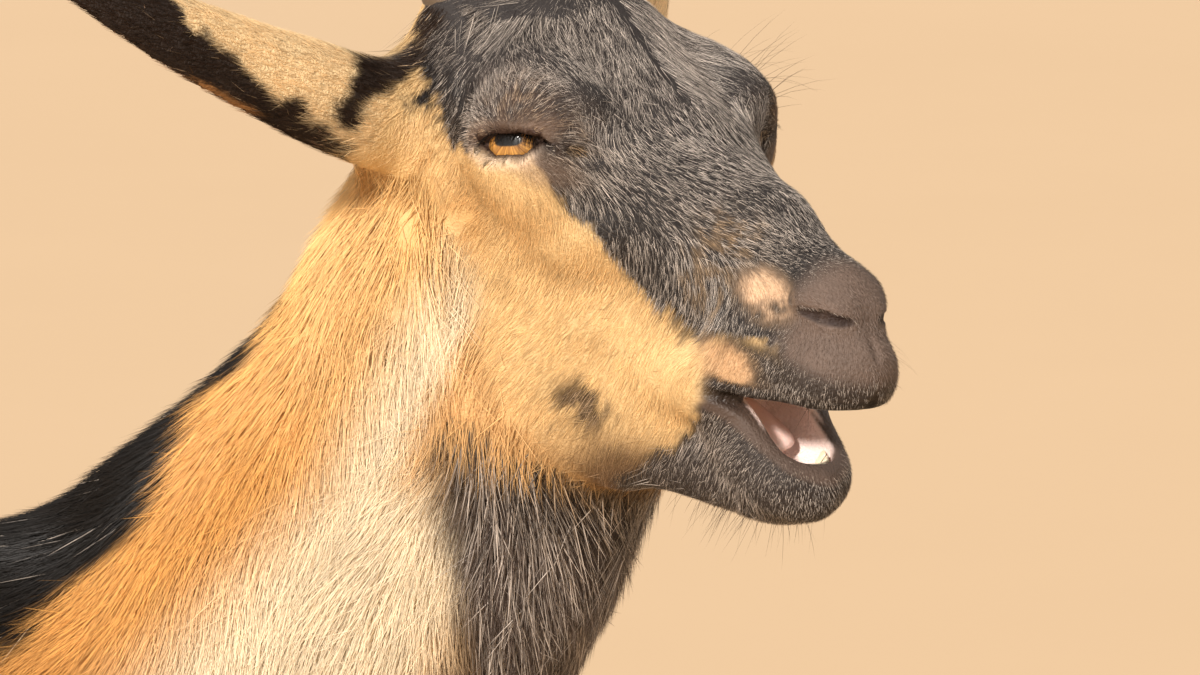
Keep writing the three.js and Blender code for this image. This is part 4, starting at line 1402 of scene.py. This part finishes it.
@dataclass
class Coat:
    """The coat: tufts of hair rooted in the skin, following its lie and its markings."""

    skin: Skin
    markings: Markings
    lie: Lie
    rng: np.random.Generator
    layers: tuple[Growth, ...] = (
        Growth("face", 112000, 0.16, 0.6, 0.14, 0.68),
        Growth("ears", 30000, 0.19, 0.9, 0.2, 0.02),
        Growth("neck", 110000, 0.24, 3.0, 0.14, 0.01),
        Growth("body", 74000, 0.55, 2.4, 0.14, 0.02),
        Growth("legs", 20000, 0.45, 0.8, 0.14, 0.03),
    )
    most: int = 190000  # triangles in one piece

    def prepare(self) -> None:
        """Reads the skin's triangles, unwrap and surface once."""
        mesh = self.skin.piece.data
        mesh.calc_loop_triangles()
        self.corners = read(mesh.loop_triangles, "vertices", 3, np.int32)
        loops = read(mesh.loop_triangles, "loops", 3, np.int32)
        self.uv = read(mesh.uv_layers["OFBake"].data, "uv", 2)[loops]
        self.points, self.out = coordinates(mesh), normals(mesh)
        self.tree = BVHTree.FromPolygons(self.points.tolist(), self.corners.tolist())
        triangle = self.points[self.corners]
        self.centres = triangle.mean(axis=1)
        first, second = (triangle[:, i] - triangle[:, 0] for i in (1, 2))
        self.area = np.linalg.norm(np.cross(first, second), axis=1) / 2

    def share(self, layer: str, points: np.ndarray) -> np.ndarray:
        """How thickly a layer grows at places, from 0 up."""
        local, body = self.skin.head.local(points), self.skin.body.local(points)
        form, nape, ear = self.skin.form, self.skin.nape(points), self.skin.on_ear(points)
        x, _, z = local.T
        if layer == "ears":
            return ear
        face = smooth(4, 20, nape) * (1 - ear)
        if layer == "face":
            near_eye = np.ones(len(points))
            for side in SIDES:
                centre, _, along, up = form.socket.axes(side)
                offset = local - centre + up * form.socket.lowered
                rim = np.sqrt((offset @ along / 11.5) ** 2 + (offset @ up / 3.4) ** 2)
                near_eye *= smooth(1.1, 1.3, rim)
                near_eye *= 1 + smooth(30, 20, np.linalg.norm(offset, axis=1))
            bare = smooth(2.2, 3.8, nearest(form.mouth_cuts(), local))
            bare *= 1 - 0.4 * smooth(112, 122, x) * smooth(-34, -24, z)
            bare *= smooth(0.3, 1.0, nearest(form.nose_cuts(), local))
            return face * near_eye * bare * (1 + 0.6 * smooth(60, 100, x))
        leg = smooth(400, 350, body[:, 2])
        off_head = (1 - smooth(4, 20, nape)) * (1 - ear)
        if layer == "legs":
            return off_head * leg * (body[:, 2] > 36)
        neck = smooth(-150, -90, body[:, 0] * 0.6 + (body[:, 2] - 560) * 0.8 - 60)
        return off_head * (1 - leg) * (neck if layer == "neck" else 1 - neck)

    def length(self, points: np.ndarray) -> np.ndarray:
        """The hair's length at places, in millimetres."""
        local, body = self.skin.head.local(points), self.skin.body.local(points)
        x, _, z = local.T
        face = 6.5 - 4.4 * smooth(70, 108, x) + 3.0 * smooth(10, -30, x) * smooth(-20, -50, z)
        brow = 4 * smooth(6, 14, z) * smooth(24, 8, x)
        face += brow + 4.5 * smooth(-64, -74, z) * smooth(125, 100, x)
        for away in self.skin.form.from_eyes(local, 12):
            face = face * (0.35 + 0.65 * smooth(9, 24, away))
        face = np.where(self.skin.on_ear(points) > 0.4, 6.5, face)
        poll = np.linalg.norm((folded(local) - (-56, 24, 26)) / (16, 16, 16), axis=1)
        face = face + 9 * smooth(1.5, 0.9, poll)
        trunk = 21 - 12 * smooth(420, 330, body[:, 2]) + 6 * smooth(170, 210, body[:, 0])
        head = self.skin.on_head(points)
        return face * head + trunk * (1 - head)

    def onto(self, points: np.ndarray) -> tuple[np.ndarray, np.ndarray]:
        """The nearest places on the skin and its normals there."""
        found = [self.tree.find_nearest(p)[:2] for p in points.tolist()]
        return np.array([f[0] for f in found]), np.array([f[1] for f in found])

    def grow(self, layer: Growth) -> Spikes:
        """Plants one layer's tufts.

        Args:
            layer: what to plant.

        Returns:
            The tufts.
        """
        weight = np.cumsum(self.area * self.share(layer.name, self.centres))
        picks = (np.arange(layer.count) + self.rng.random(layer.count)) / layer.count * weight[-1]
        face = np.minimum(np.searchsorted(weight, picks), len(weight) - 1)
        u, v = self.rng.random((2, layer.count))
        u, v = np.where(u + v > 1, 1 - u, u), np.where(u + v > 1, 1 - v, v)
        mix = np.stack([1 - u - v, u, v], 1)[:, :, None]
        root = (self.points[self.corners[face]] * mix).sum(1)
        out = unit((self.out[self.corners[face]] * mix).sum(1))
        uv = (self.uv[face] * mix).sum(1)
        way = self.lie.at(root, out)
        side = np.cross(out, way)
        swirl = (value_noise(root / MM, 22, 31) - 0.5) * 0.5 + self.rng.normal(0, layer.stray, layer.count)
        wild = self.rng.normal(0, 0.8, layer.count) * (self.rng.random(layer.count) < 0.12)
        way = unit(way + side * (swirl + wild)[:, None])
        long = self.length(root) * self.rng.uniform(0.7, 1.2, layer.count)
        clump = value_noise(root / MM, 7, 33)
        lift = layer.lift * (0.5 + clump) * self.rng.uniform(0.6, 1.4, layer.count)
        at, normal = self.onto(root + way * long[:, None] * MM)
        lines = [root - out * 0.3 * MM, at + normal * lift[:, None] * MM]
        colours = self.markings.at(root + way * (long * 0.35)[:, None] * MM)
        dark = smooth(BLACK_HAIR, 0.06, colours.mean(axis=1))[:, None]
        # Painted sheen: some black hairs get a grey glint, warm pale on brownish parts. The black throat gets
        # many more, wider ones, which stand for its pale streaks as well as sheen.
        often = layer.glint
        if layer.name == "neck":
            often = often * (1 + 46 * smooth(150, 200, self.skin.body.local(root)[:, 0]))
        draw = self.rng.random(layer.count)
        glint = np.where(draw < often * 0.5, 0.8, np.where(draw < often, 0.3, 0.0))[:, None] * dark
        warm = smooth(1.6, 2.6, colours[:, :1] / colours[:, 2:])
        grey = linear("D3C6BA")
        pale = grey + (linear("CDB08E") - grey) * warm
        colours = colours + (pale - colours) * glint
        spread = 0.34 if layer.name == "face" else 0.24
        spread = spread + (0.46 - spread) * dark
        colours = colours * (1 + self.rng.uniform(-1, 1, (layer.count, 1)) * spread)
        colours = colours * (1 + (clump[:, None] - 0.5) * 0.26) * 0.84
        width = layer.width * self.rng.uniform(0.75, 1.25, layer.count) * MM
        if layer.name == "neck":
            width *= 1 + 0.9 * glint[:, 0]
        if layer.name == "face":
            width *= 0.75 + 0.25 * smooth(2, 6, long)
        return Spikes(np.stack(lines, 1), width, out, colours, uv)

    def build(self) -> list[bpy.types.Object]:
        """Grows every layer and splits it into pieces by colour and size.

        Returns:
            The coat's pieces.
        """
        self.prepare()
        made = []
        for layer in self.layers:
            made += self.pieces(layer.name, self.grow(layer))
        return made

    def pieces(self, name: str, tufts: Spikes) -> list[bpy.types.Object]:
        """Makes pieces of tufts: black ones apart from tan ones, none with too many triangles."""
        made = []
        dark = tufts.colours.mean(axis=1) < BLACK_HAIR
        triangles = 6 * (tufts.lines.shape[1] - 1) - 2  # in one spike
        each = self.most // triangles
        for slot, chosen in ((Slot.BLACK, np.nonzero(dark)[0]), (Slot.TAN, np.nonzero(~dark)[0])):
            parts = max(1, math.ceil(len(chosen) / each))
            for index, some in enumerate(np.array_split(chosen, parts)):
                if len(some) == 0:
                    continue
                piece = tufts.part(some).piece(f"fur_{name}_{slot.name.lower()}_{index + 1}")
                piece.data.materials.append(FurFinish(slot).material())
                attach(piece, "root")
                made.append(piece)
        return made


# ---- Finishes ----
def add(
    tree: bpy.types.NodeTree, kind: str, settings: dict[str, object] | None = None, **sockets: object
) -> bpy.types.Node:
    """Adds a shader node.

    Args:
        tree: the material's nodes.
        kind: the node's type, without the words ShaderNode.
        settings: its own properties by name.
        sockets: for each input, with _ for a blank in its name, a value or the output to link.

    Returns:
        The node.
    """
    node = tree.nodes.new("ShaderNode" + kind)
    for name, value in (settings or {}).items():
        setattr(node, name, value)
    for name, value in sockets.items():
        key = int(name[1:]) if name[0] == "i" and name[1:].isdigit() else name.replace("_", " ")
        if isinstance(value, bpy.types.NodeSocket):
            tree.links.new(value, node.inputs[key])
        else:
            node.inputs[key].default_value = value
    return node


@dataclass(frozen=True)
class Finish:
    """A material made once under its name and shared by the pieces that wear it."""

    def title(self) -> str:
        """The material's name."""
        return type(self).__name__

    def dress(self, tree: bpy.types.NodeTree) -> dict[str, object]:
        """Adds the finish's nodes and gives the surface's inputs."""
        raise NotImplementedError

    def material(self) -> bpy.types.Material:
        """The material, made on first use."""
        found = bpy.data.materials.get(self.title())
        if found:
            return found
        made = bpy.data.materials.new(self.title())
        made.use_nodes = True
        tree = made.node_tree
        tree.nodes.clear()
        surface = add(tree, "BsdfPrincipled", **self.dress(tree))
        tree.links.new(surface.outputs[0], tree.nodes.new("ShaderNodeOutputMaterial").inputs[0])
        return made


@dataclass(frozen=True)
class FurFinish(Finish):
    """Goat hair: gives the eye fine strands, each a little different, that shine softly."""

    slot: Slot

    def title(self) -> str:
        """The material's name."""
        return f"Goat hair {self.slot.name.lower()}"

    def dress(self, tree: bpy.types.NodeTree) -> dict[str, object]:
        """Strand colours from the tufts and a soft shine."""
        tint = add(tree, "Attribute", {"attribute_name": "tint"})
        black = self.slot is Slot.BLACK
        return {
            "Base_Color": tint.outputs["Color"],
            "Roughness": 0.5 if black else 0.55,
            "Specular_IOR_Level": 0.2 if black else 0.3,
        }


@dataclass(frozen=True)
class SkinFinish(Finish):
    """Goat skin under short hair: gives the eye the markings with a fine grain of lying hair."""

    grain: float = 0.9  # millimetres between hairs

    def title(self) -> str:
        """The material's name."""
        return "Goat skin and short fur"

    def dress(self, tree: bpy.types.NodeTree) -> dict[str, object]:
        """The markings, darker between the hairs, and a fine bump."""
        tint = add(tree, "Attribute", {"attribute_name": "tint"})
        wet = add(tree, "Attribute", {"attribute_name": "wet"})
        place_at = add(tree, "TexCoord")
        where = place_at.outputs["Object"]
        hairs = add(tree, "TexNoise", Vector=where, Scale=1000 / self.grain, Detail=3.0)
        bump = add(tree, "Bump", Height=hairs.outputs["Fac"], Strength=1.0, Distance=0.7 * MM)
        gloss = add(tree, "MapRange", Value=wet.outputs["Fac"], To_Min=0.62, To_Max=0.25)
        return {
            "Base_Color": tint.outputs["Color"],
            "Roughness": gloss.outputs[0],
            "Normal": bump.outputs[0],
            "Specular_IOR_Level": 0.3,
        }


@dataclass(frozen=True)
class PlainFinish(Finish):
    """A mottled natural material: two colours in soft cells, with a fine bump."""

    name: str
    first: str
    second: str
    cells: float  # millimetres across a cell
    roughness: float
    bump: float = 0.1  # millimetres
    stretch: Triple = (1.0, 1.0, 1.0)
    coat: float = 0.0
    under: float = 0.0  # light let through under the surface

    def title(self) -> str:
        """The material's name."""
        return self.name

    def dress(self, tree: bpy.types.NodeTree) -> dict[str, object]:
        """Two mixed colours and a bump of the same cells."""
        place_at = add(tree, "TexCoord")
        turned = add(tree, "Mapping", Vector=place_at.outputs["Object"], Scale=self.stretch)
        scale = 1000 / self.cells
        cells = add(tree, "TexNoise", Vector=turned.outputs[0], Scale=scale, Detail=5.0, Roughness=0.6)
        share, colours = cells.outputs["Fac"], {"i6": rgba(self.first), "i7": rgba(self.second)}
        mixed = add(tree, "Mix", {"data_type": "RGBA"}, Factor=share, **colours)
        bump = add(tree, "Bump", Height=cells.outputs["Fac"], Strength=0.8, Distance=self.bump * MM)
        return {
            "Base_Color": mixed.outputs[2],
            "Roughness": self.roughness,
            "Normal": bump.outputs[0],
            "Coat_Weight": self.coat,
            "Coat_Roughness": 0.05,
            "Subsurface_Weight": self.under,
            "Subsurface_Radius": (0.004, 0.0016, 0.001),
        }


@dataclass(frozen=True)
class EyeFinish(Finish):
    """A goat's eye: gives the eye an amber iris with fibres, a level bar of a pupil and a wet shine."""

    def title(self) -> str:
        """The material's name."""
        return "Goat eye"

    def dress(self, tree: bpy.types.NodeTree) -> dict[str, object]:
        """Rings of colour by the distance from the pupil, under a clear coat."""
        rings = add(tree, "Attribute", {"attribute_name": "rings"})
        part = add(tree, "SeparateXYZ", Vector=rings.outputs["Vector"])
        fibre = add(tree, "Attribute", {"attribute_name": "fibre"})
        strands = add(tree, "TexNoise", Vector=fibre.outputs["Vector"], Scale=9.0, Detail=4.0)
        shade = add(tree, "ValToRGB", Fac=strands.outputs["Fac"])
        dark, light = shade.color_ramp.elements
        dark.color, light.color = rgba("6E4218"), rgba("D79C4C")
        dark.position, light.position = 0.3, 0.7
        colour, step, mix = shade.outputs[0], {"interpolation_type": "SMOOTHSTEP"}, {"data_type": "RGBA"}
        # From the inside out: the iris's dark rim, then the skin round it.
        for low, high, code in ((0.9, 1.0, "241812"), (1.0, 1.08, "4E3322")):
            edge = add(tree, "MapRange", step, Value=part.outputs[0], From_Min=low, From_Max=high)
            ring = add(tree, "Mix", mix, Factor=edge.outputs[0], i6=colour, i7=rgba(code))
            colour = ring.outputs[2]
        bar = add(tree, "MapRange", step, Value=part.outputs[1], From_Min=0.9, From_Max=1.15)
        whole = add(tree, "Mix", mix, Factor=bar.outputs[0], i6=rgba("05060A"), i7=colour)
        return {
            "Base_Color": whole.outputs[2],
            "Roughness": 0.3,
            "Coat_Weight": 1.0,
            "Coat_Roughness": 0.02,
            "Coat_IOR": 1.38,
        }


# ---- Eyes, mouth, horns and hooves ----
@dataclass
class Eye:
    """One eyeball with a bulging cornea, its iris drawn by rings stored on its points."""

    side: Side
    head: AnimalFrame
    socket: EyeSocket = field(default_factory=EyeSocket)
    bulge: float = 0.07
    iris: float = 0.9  # half the iris's width, as a share of the ball's radius
    pupil: Pair = (0.36, 0.17)  # half its length and height, as shares of the ball's radius
    raised: float = 0.02  # how far the pupil is above the line of the gaze
    back: float = 0.08  # how far the pupil is behind the line of the gaze

    def build(self) -> bpy.types.Object:
        """Makes the eyeball.

        Returns:
            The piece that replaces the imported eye.
        """
        centre, gaze, along, up = self.socket.axes(self.side.value)
        bm = bmesh.new()
        bmesh.ops.create_uvsphere(bm, u_segments=128, v_segments=80, radius=1.0)
        turn = np.array([along, up, gaze])
        flat = np.array([v.co for v in bm.verts])
        swell = 1 + self.bulge * smooth(0.55, 1.0, flat[:, 2])
        radius = self.socket.radius - 0.4
        places = self.head.world(centre + (flat * swell[:, None] * radius) @ turn)
        for vert, place_at in zip(bm.verts, places):
            vert.co = place_at
        if np.linalg.det(turn) < 0:
            bmesh.ops.reverse_faces(bm, faces=bm.faces)
        piece = from_bmesh(f"eyeball_{self.side.word}", bm)
        high = flat[:, 1] - self.raised
        wide = np.abs(flat[:, 0] + self.back)
        behind = flat[:, 2] < 0
        ring = np.where(behind, 2.0, np.hypot(flat[:, 0], high) / self.iris)
        bar = ((wide / self.pupil[0]) ** 3 + (np.abs(high) / self.pupil[1]) ** 3) ** (1 / 3)
        bar = np.where(behind, 9.0, bar)
        spoke = np.stack([flat[:, 0], high, ring * 0.25], 1) / np.maximum(ring, 0.1)[:, None]
        for name, values in (("rings", np.stack([ring, bar, bar * 0], 1)), ("fibre", spoke)):
            layer = piece.data.attributes.new(name=name, type="FLOAT_VECTOR", domain="POINT")
            layer.data.foreach_set("vector", values.astype(np.float32).ravel())
        piece.data.materials.append(EyeFinish().material())
        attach(piece, "root")
        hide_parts(f"eye_{self.side.word}")
        return piece


@dataclass
class Mouth:
    """The tongue and the lower front teeth."""

    head: AnimalFrame
    arc: Pair = (14.0, 10.0)  # half sizes of the arc of teeth, forwards and across
    centre: Triple = (104.5, 0.0, -59.5)
    teeth: int = 8

    def tongue(self) -> bpy.types.Object:
        """A flat tongue lying in the lower jaw."""

        def shape(turn: np.ndarray, t: np.ndarray) -> np.ndarray:
            """Places on the tongue."""
            size = np.sqrt(np.clip(1 - (t * 2 - 1) ** 4, 0, 1))
            x = 66 + 38 * t
            y = np.cos(turn * 2 * np.pi) * 8.8 * size
            z = -56.5 - 2 * t + np.sin(turn * 2 * np.pi) * (4.5 - 1.5 * t) * size
            z = z - 0.6 * np.exp(-((y / 2) ** 2))  # the groove along its middle
            return self.head.world(np.stack([x, y, z], 1))

        piece = from_bmesh("tongue_flesh", tube(shape, 48, 40))
        finish = PlainFinish("Moist tongue", "E6BDB2", "F3D9D0", 1.6, 0.35, 0.25, coat=0.4, under=0.15)
        piece.data.materials.append(finish.material())
        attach(piece, "root")
        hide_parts("tongue")
        return piece

    def front_teeth(self) -> bpy.types.Object:
        """Eight incisors in an arc, the middle pair largest."""
        bm = bmesh.new()
        for index in range(self.teeth):
            spot = (index + 0.5) / self.teeth * 2 - 1
            turn = spot * 1.25
            size = 1 - 0.35 * abs(spot)
            tooth = bmesh.new()
            bmesh.ops.create_cube(tooth, size=1.0)
            block = Matrix.Diagonal((2.2, 4.4 * size, 7 * size, 1))
            bmesh.ops.transform(tooth, matrix=block, verts=tooth.verts)
            for vert in tooth.verts:
                if vert.co.z > 0:
                    vert.co.y *= 1.22
                    vert.co.x = vert.co.x * 0.5 + 1.2
            round_off(tooth, tooth.edges[:], 0.8)
            x, y = self.arc[0] * math.cos(turn), self.arc[1] * math.sin(turn)
            place_at = self.centre[0] + x, y, self.centre[2]
            matrix = Matrix.Translation(place_at) @ Matrix.Rotation(turn, 4, "Z")
            bmesh.ops.transform(tooth, matrix=matrix, verts=tooth.verts)
            join(bm, tooth)
        bmesh.ops.transform(bm, matrix=self.head.matrix() @ Matrix.Scale(MM, 4), verts=bm.verts)
        piece = from_bmesh("incisors", bm)
        finish = PlainFinish("Tooth enamel", "F2E8D2", "D9C7A0", 6.0, 0.3, 0.03, coat=0.5, under=0.1)
        piece.data.materials.append(finish.material())
        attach(piece, "root")
        return piece


@dataclass
class Horn:
    """A short ringed horn that sweeps back from the crown."""

    side: Side
    head: AnimalFrame
    length: float = 150.0
    rings: int = 17

    def build(self) -> bpy.types.Object:
        """Makes the horn.

        Returns:
            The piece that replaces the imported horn.
        """
        s = self.side.value
        line = Sweep((-58, s * 23, 15), (-0.62, s * 0.34, 0.7), (-0.86, s * 0.62, 0.1), self.length)

        def shape(turn: np.ndarray, t: np.ndarray) -> np.ndarray:
            """Places on the horn."""
            at, along = line.points(t)
            side = unit(np.cross((0.0, 0.0, 1.0), along))
            out = np.cross(along, side)
            girth = 1.2 + 11.8 * (1 - t) ** 0.75
            wave = (t * self.rings) % 1.0
            girth = girth * (1 + 0.055 * (1 - smooth(0.35, 1.0, t)) * np.sin(np.pi * wave) ** 0.6 - 0.03)
            angle = turn * 2 * np.pi
            round_side = 1.12 * np.cos(angle) * girth
            round_out = 0.85 * np.sin(angle) * girth + 0.12 * girth * (np.sin(angle) > 0.8)
            return self.head.world(at + side * round_side[:, None] + out * round_out[:, None])

        piece = from_bmesh(f"horn_sheath_{self.side.word}", tube(shape, 56, 340))
        finish = PlainFinish("Ridged horn", "4A3D31", "6E5D4B", 5.0, 0.55, 0.3, (1, 1, 0.3))
        piece.data.materials.append(finish.material())
        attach(piece, "root")
        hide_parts(f"horn_{self.side.word}")
        return piece


@dataclass
class Hooves:
    """The claws of all four feet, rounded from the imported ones."""

    nodes: dict[str, bpy.types.Object]

    def build(self) -> list[bpy.types.Object]:
        """Makes one piece for each claw.

        Returns:
            The claws.
        """
        made = []
        finish = PlainFinish("Hoof horn", "1F1914", "3B3027", 4.0, 0.45, 0.25, (1, 1, 0.15))
        for name in sorted(n for n in self.nodes if n.startswith("hoof_")):
            bm = bmesh.new()
            bm.from_mesh(self.nodes[name].data)
            bmesh.ops.remove_doubles(bm, verts=bm.verts, dist=1e-5)
            bmesh.ops.dissolve_limit(bm, angle_limit=math.radians(3), verts=bm.verts, edges=bm.edges)
            edges = [e for e in bm.edges if e.calc_face_angle(0) > math.radians(35)]
            round_off(bm, edges, 1.2 * MM, clamp_overlap=True)
            piece = from_bmesh(name.replace("hoof", "claw"), bm)
            piece.data.materials.append(finish.material())
            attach(piece, "root")
            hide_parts(name)
            made.append(piece)
        return made


# ---- Long single hairs ----
@dataclass
class LongHairs:
    """Lashes and whiskers, as slender curved spikes."""

    coat: Coat
    rng: np.random.Generator

    def fan(
        self,
        roots: np.ndarray,
        ways: np.ndarray,
        bends: np.ndarray,
        long: np.ndarray,
        width: float,
        code: str,
    ) -> Spikes:
        """Hairs that leave the skin one way and bend towards another.

        Args:
            roots: places near the skin in the head's frame.
            ways: directions there in the head's frame.
            bends: what the tips lean towards.
            long: lengths in millimetres.
            width: half width at the root in millimetres.
            code: the hairs' colour.

        Returns:
            The hairs.
        """
        head = self.coat.skin.head
        at, out = self.coat.onto(head.world(roots))
        way, bend = head.turn(unit(ways)), head.turn(unit(bends))
        lines = [at - out * 0.5 * MM]
        for step in (1 / 3, 2 / 3, 1.0):
            mean = unit(way * (1 - step * 0.6) + bend * step * 0.6)
            lines.append(at + mean * (long * step)[:, None] * MM)
        colours = np.tile(linear(code), (len(at), 1)) * self.rng.uniform(0.7, 1.3, (len(at), 1))
        places = np.full((len(at), 2), 0.5)
        return Spikes(np.stack(lines, 1), np.full(len(at), width * MM), out, colours, places)

    def lashes(self) -> Spikes:
        """Dark lashes along both upper lids."""
        sets, count = [], 130
        for side in SIDES:
            centre, gaze, along, up = self.coat.skin.form.socket.axes(side)
            phi = self.rng.uniform(0.12, 0.88, count) * np.pi
            a, b = np.cos(phi)[:, None] * 10.2, np.sin(phi)[:, None] * 3.4
            roots = centre + gaze * 14.5 + along * a + up * (b - 1.4)
            stray = self.rng.normal(0, 0.1, (count, 3))
            ways = gaze * 0.9 - up * 0.35 + along * (a / 40) + stray
            bends = gaze * 0.5 - up * 1.1 + along * (a / 30)
            long = self.rng.uniform(4, 7.5, count)
            sets.append(self.fan(roots, ways, bends, long, 0.11, "17110D"))
        return joined_spikes(sets)

    def whiskers(self) -> Spikes:
        """Sparse stiff hairs on the lips, the chin and over the eyes."""
        sets = []
        for side in SIDES:
            for centre, size, way, count, length in (
                ((112, 14, -24), (10, 5, 8), (0.5, 0.8, -0.5), 36, (6, 16)),
                ((96, 10, -76), (22, 7, 8), (0.1, 0.4, -0.95), 90, (6, 17)),
                ((4, 44, 22), (20, 6, 8), (0.25, 0.75, 0.6), 26, (10, 24)),
            ):
                mirror = np.array([1, side, 1])
                roots = (np.array(centre) + self.rng.normal(0, 0.5, (count, 3)) * size) * mirror
                ways = np.array(way) * mirror + self.rng.normal(0, 0.25, (count, 3))
                bends = ways + (0.0, 0.0, -0.5)
                long = self.rng.uniform(*length, count)
                sets.append(self.fan(roots, ways, bends, long, 0.065, "3A2D22"))
        return joined_spikes(sets)

    def build(self) -> list[bpy.types.Object]:
        """Makes the pieces of long hair."""
        return [
            *self.coat.pieces("lashes", self.lashes()),
            *self.coat.pieces("whiskers", self.whiskers()),
        ]


def joined_spikes(sets: Sequence[Spikes]) -> Spikes:
    """Several sets of spikes as one."""
    names = ("lines", "width", "out", "colours", "roots")
    return Spikes(*(np.concatenate([getattr(one, name) for one in sets]) for name in names))


# ---- Studio ----
@dataclass
class Studio:
    """Pale floor, soft light and the camera."""

    head: AnimalFrame
    azimuth: float = 30.0
    elevation: float = 10.0
    distance: float = 3.0
    lens: float = 282.15
    aim: Pair = (-0.0092, -0.0632)  # where the camera looks from the head's middle: right and up, in metres
    sensor: float = 36.0  # the camera's width of sensor, in millimetres, as the lens
    floor: float = 60.0  # metres across
    sun: float = 5.4  # the key light's power on each square metre
    sky: float = 0.8  # the strength of the light from all round

    def axes(self) -> tuple[np.ndarray, np.ndarray, np.ndarray]:
        """The camera's right, its up and the way back to it."""
        a, e = math.radians(self.azimuth), math.radians(self.elevation)
        right = np.array([math.cos(a), math.sin(a), 0])
        back = np.array([math.sin(a) * math.cos(e), -math.cos(a) * math.cos(e), math.sin(e)])
        return right, np.cross(back, right), back

    def build(self) -> None:
        """Sets up floor, light and camera."""
        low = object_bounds()[0]
        bm = bmesh.new()
        bmesh.ops.create_grid(bm, x_segments=1, y_segments=1, size=self.floor / 2)
        bmesh.ops.translate(bm, vec=(0, 0, low[2]), verts=bm.verts)
        floor = from_bmesh("studio_floor", bm)
        finish = PlainFinish("Pale plaster floor", "BCA180", "C2A786", 900, 0.9, 0.0)
        floor.data.materials.append(finish.material())
        floor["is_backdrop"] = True
        right, up, back = self.axes()
        aim = self.head.origin + right * self.aim[0] + up * self.aim[1]
        camera = bpy.data.cameras.new("camera")
        camera.lens, camera.sensor_width, camera.clip_end = self.lens, self.sensor, 200.0
        seen = bpy.data.objects.new("camera", camera)
        seen.location = aim + back * self.distance
        seen.rotation_euler = Vector(back).to_track_quat("Z", "Y").to_euler()
        bpy.context.scene.collection.objects.link(seen)
        bpy.context.scene.camera = seen
        self.light(back * 2.0 - right * 1.1 + up * 1.0, self.sun, "FFF8F0")
        world = bpy.data.worlds.new("studio")
        world.use_nodes = True
        shade = world.node_tree.nodes["Background"]
        shade.inputs["Color"].default_value = rgba("F8F0E6")
        shade.inputs["Strength"].default_value = self.sky
        bpy.context.scene.world = world
        bpy.context.scene.view_settings.view_transform = "Standard"

    def light(self, toward: np.ndarray, strength: float, code: str) -> None:
        """Adds the soft key light.

        Args:
            toward: the way to the light.
            strength: its power on each square metre.
            code: its colour.
        """
        data = bpy.data.lights.new("key", "SUN")
        data.angle, data.energy, data.color = math.radians(7), strength, rgba(code)[:3]
        made = bpy.data.objects.new("key", data)
        made.rotation_euler = Vector(toward).to_track_quat("Z", "Y").to_euler()
        bpy.context.scene.collection.objects.link(made)


# ---- Putting it together ----
def dress_skin(skin: Skin, markings: Markings) -> None:
    """Unwraps the skin, colours it and gives it its finish.

    Args:
        skin: the finished skin.
        markings: its colours by place.
    """
    mesh = skin.piece.data
    mesh.uv_layers.new(name="OFBake")
    bpy.context.view_layer.objects.active = skin.piece
    skin.piece.select_set(True)
    bpy.ops.object.mode_set(mode="EDIT")
    bpy.ops.mesh.select_all(action="SELECT")
    bpy.ops.uv.smart_project(angle_limit=math.radians(66), island_margin=0.003)
    bpy.ops.object.mode_set(mode="OBJECT")
    points = coordinates(mesh)
    colours = markings.at(points)
    # Skin between hairs is in their shade, the most on tan and on black parts.
    colours *= 1 - 0.22 * smooth(0.3, 0.5, colours[:, 0] - colours[:, 2])[:, None]
    store_tint(mesh, colours * (0.6 + 0.3 * smooth(0.1, 0.3, colours.mean(axis=1)))[:, None])
    wet = smooth(2.0, 0.4, nearest(skin.form.mouth_cuts(), skin.head.local(points)))
    layer = mesh.attributes.new(name="wet", type="FLOAT", domain="POINT")
    layer.data.foreach_set("value", wet.astype(np.float32))
    mesh.materials.clear()
    mesh.materials.append(SkinFinish().material())


def main(frame: dict) -> None:
    """Builds every piece of the goat and the studio round it.
    """
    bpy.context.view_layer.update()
    rng = np.random.default_rng(7)
    head, body = Pose().frames()
    ears = (Ear.of(Side.LEFT), Ear.of(Side.RIGHT))
    skin = Skin(head, body, ears)
    nodes = {name: bpy.data.objects[name] for name in frame["nodes"]}
    skin.build(nodes)
    log.info("skin: %d faces", len(skin.piece.data.polygons))
    markings = Markings(head, body, ears, skin)
    dress_skin(skin, markings)
    for side in Side:
        log.info("%s", Eye(side, head).build().name)
        log.info("%s", Horn(side, head).build().name)
    mouth = Mouth(head)
    log.info("%s, %s", mouth.tongue().name, mouth.front_teeth().name)
    log.info("%d claws", len(Hooves(nodes).build()))
    coat = Coat(skin, markings, Lie(head, body, ears, skin), rng)
    made = [*coat.build(), *LongHairs(coat, rng).build()]
    for piece in made:
        log.info("%s: %d faces", piece.name, len(piece.data.polygons))
    Studio(head).build()


if __name__ == "__main__":
    logging.basicConfig(level=logging.INFO)
    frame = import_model()
    main(frame)
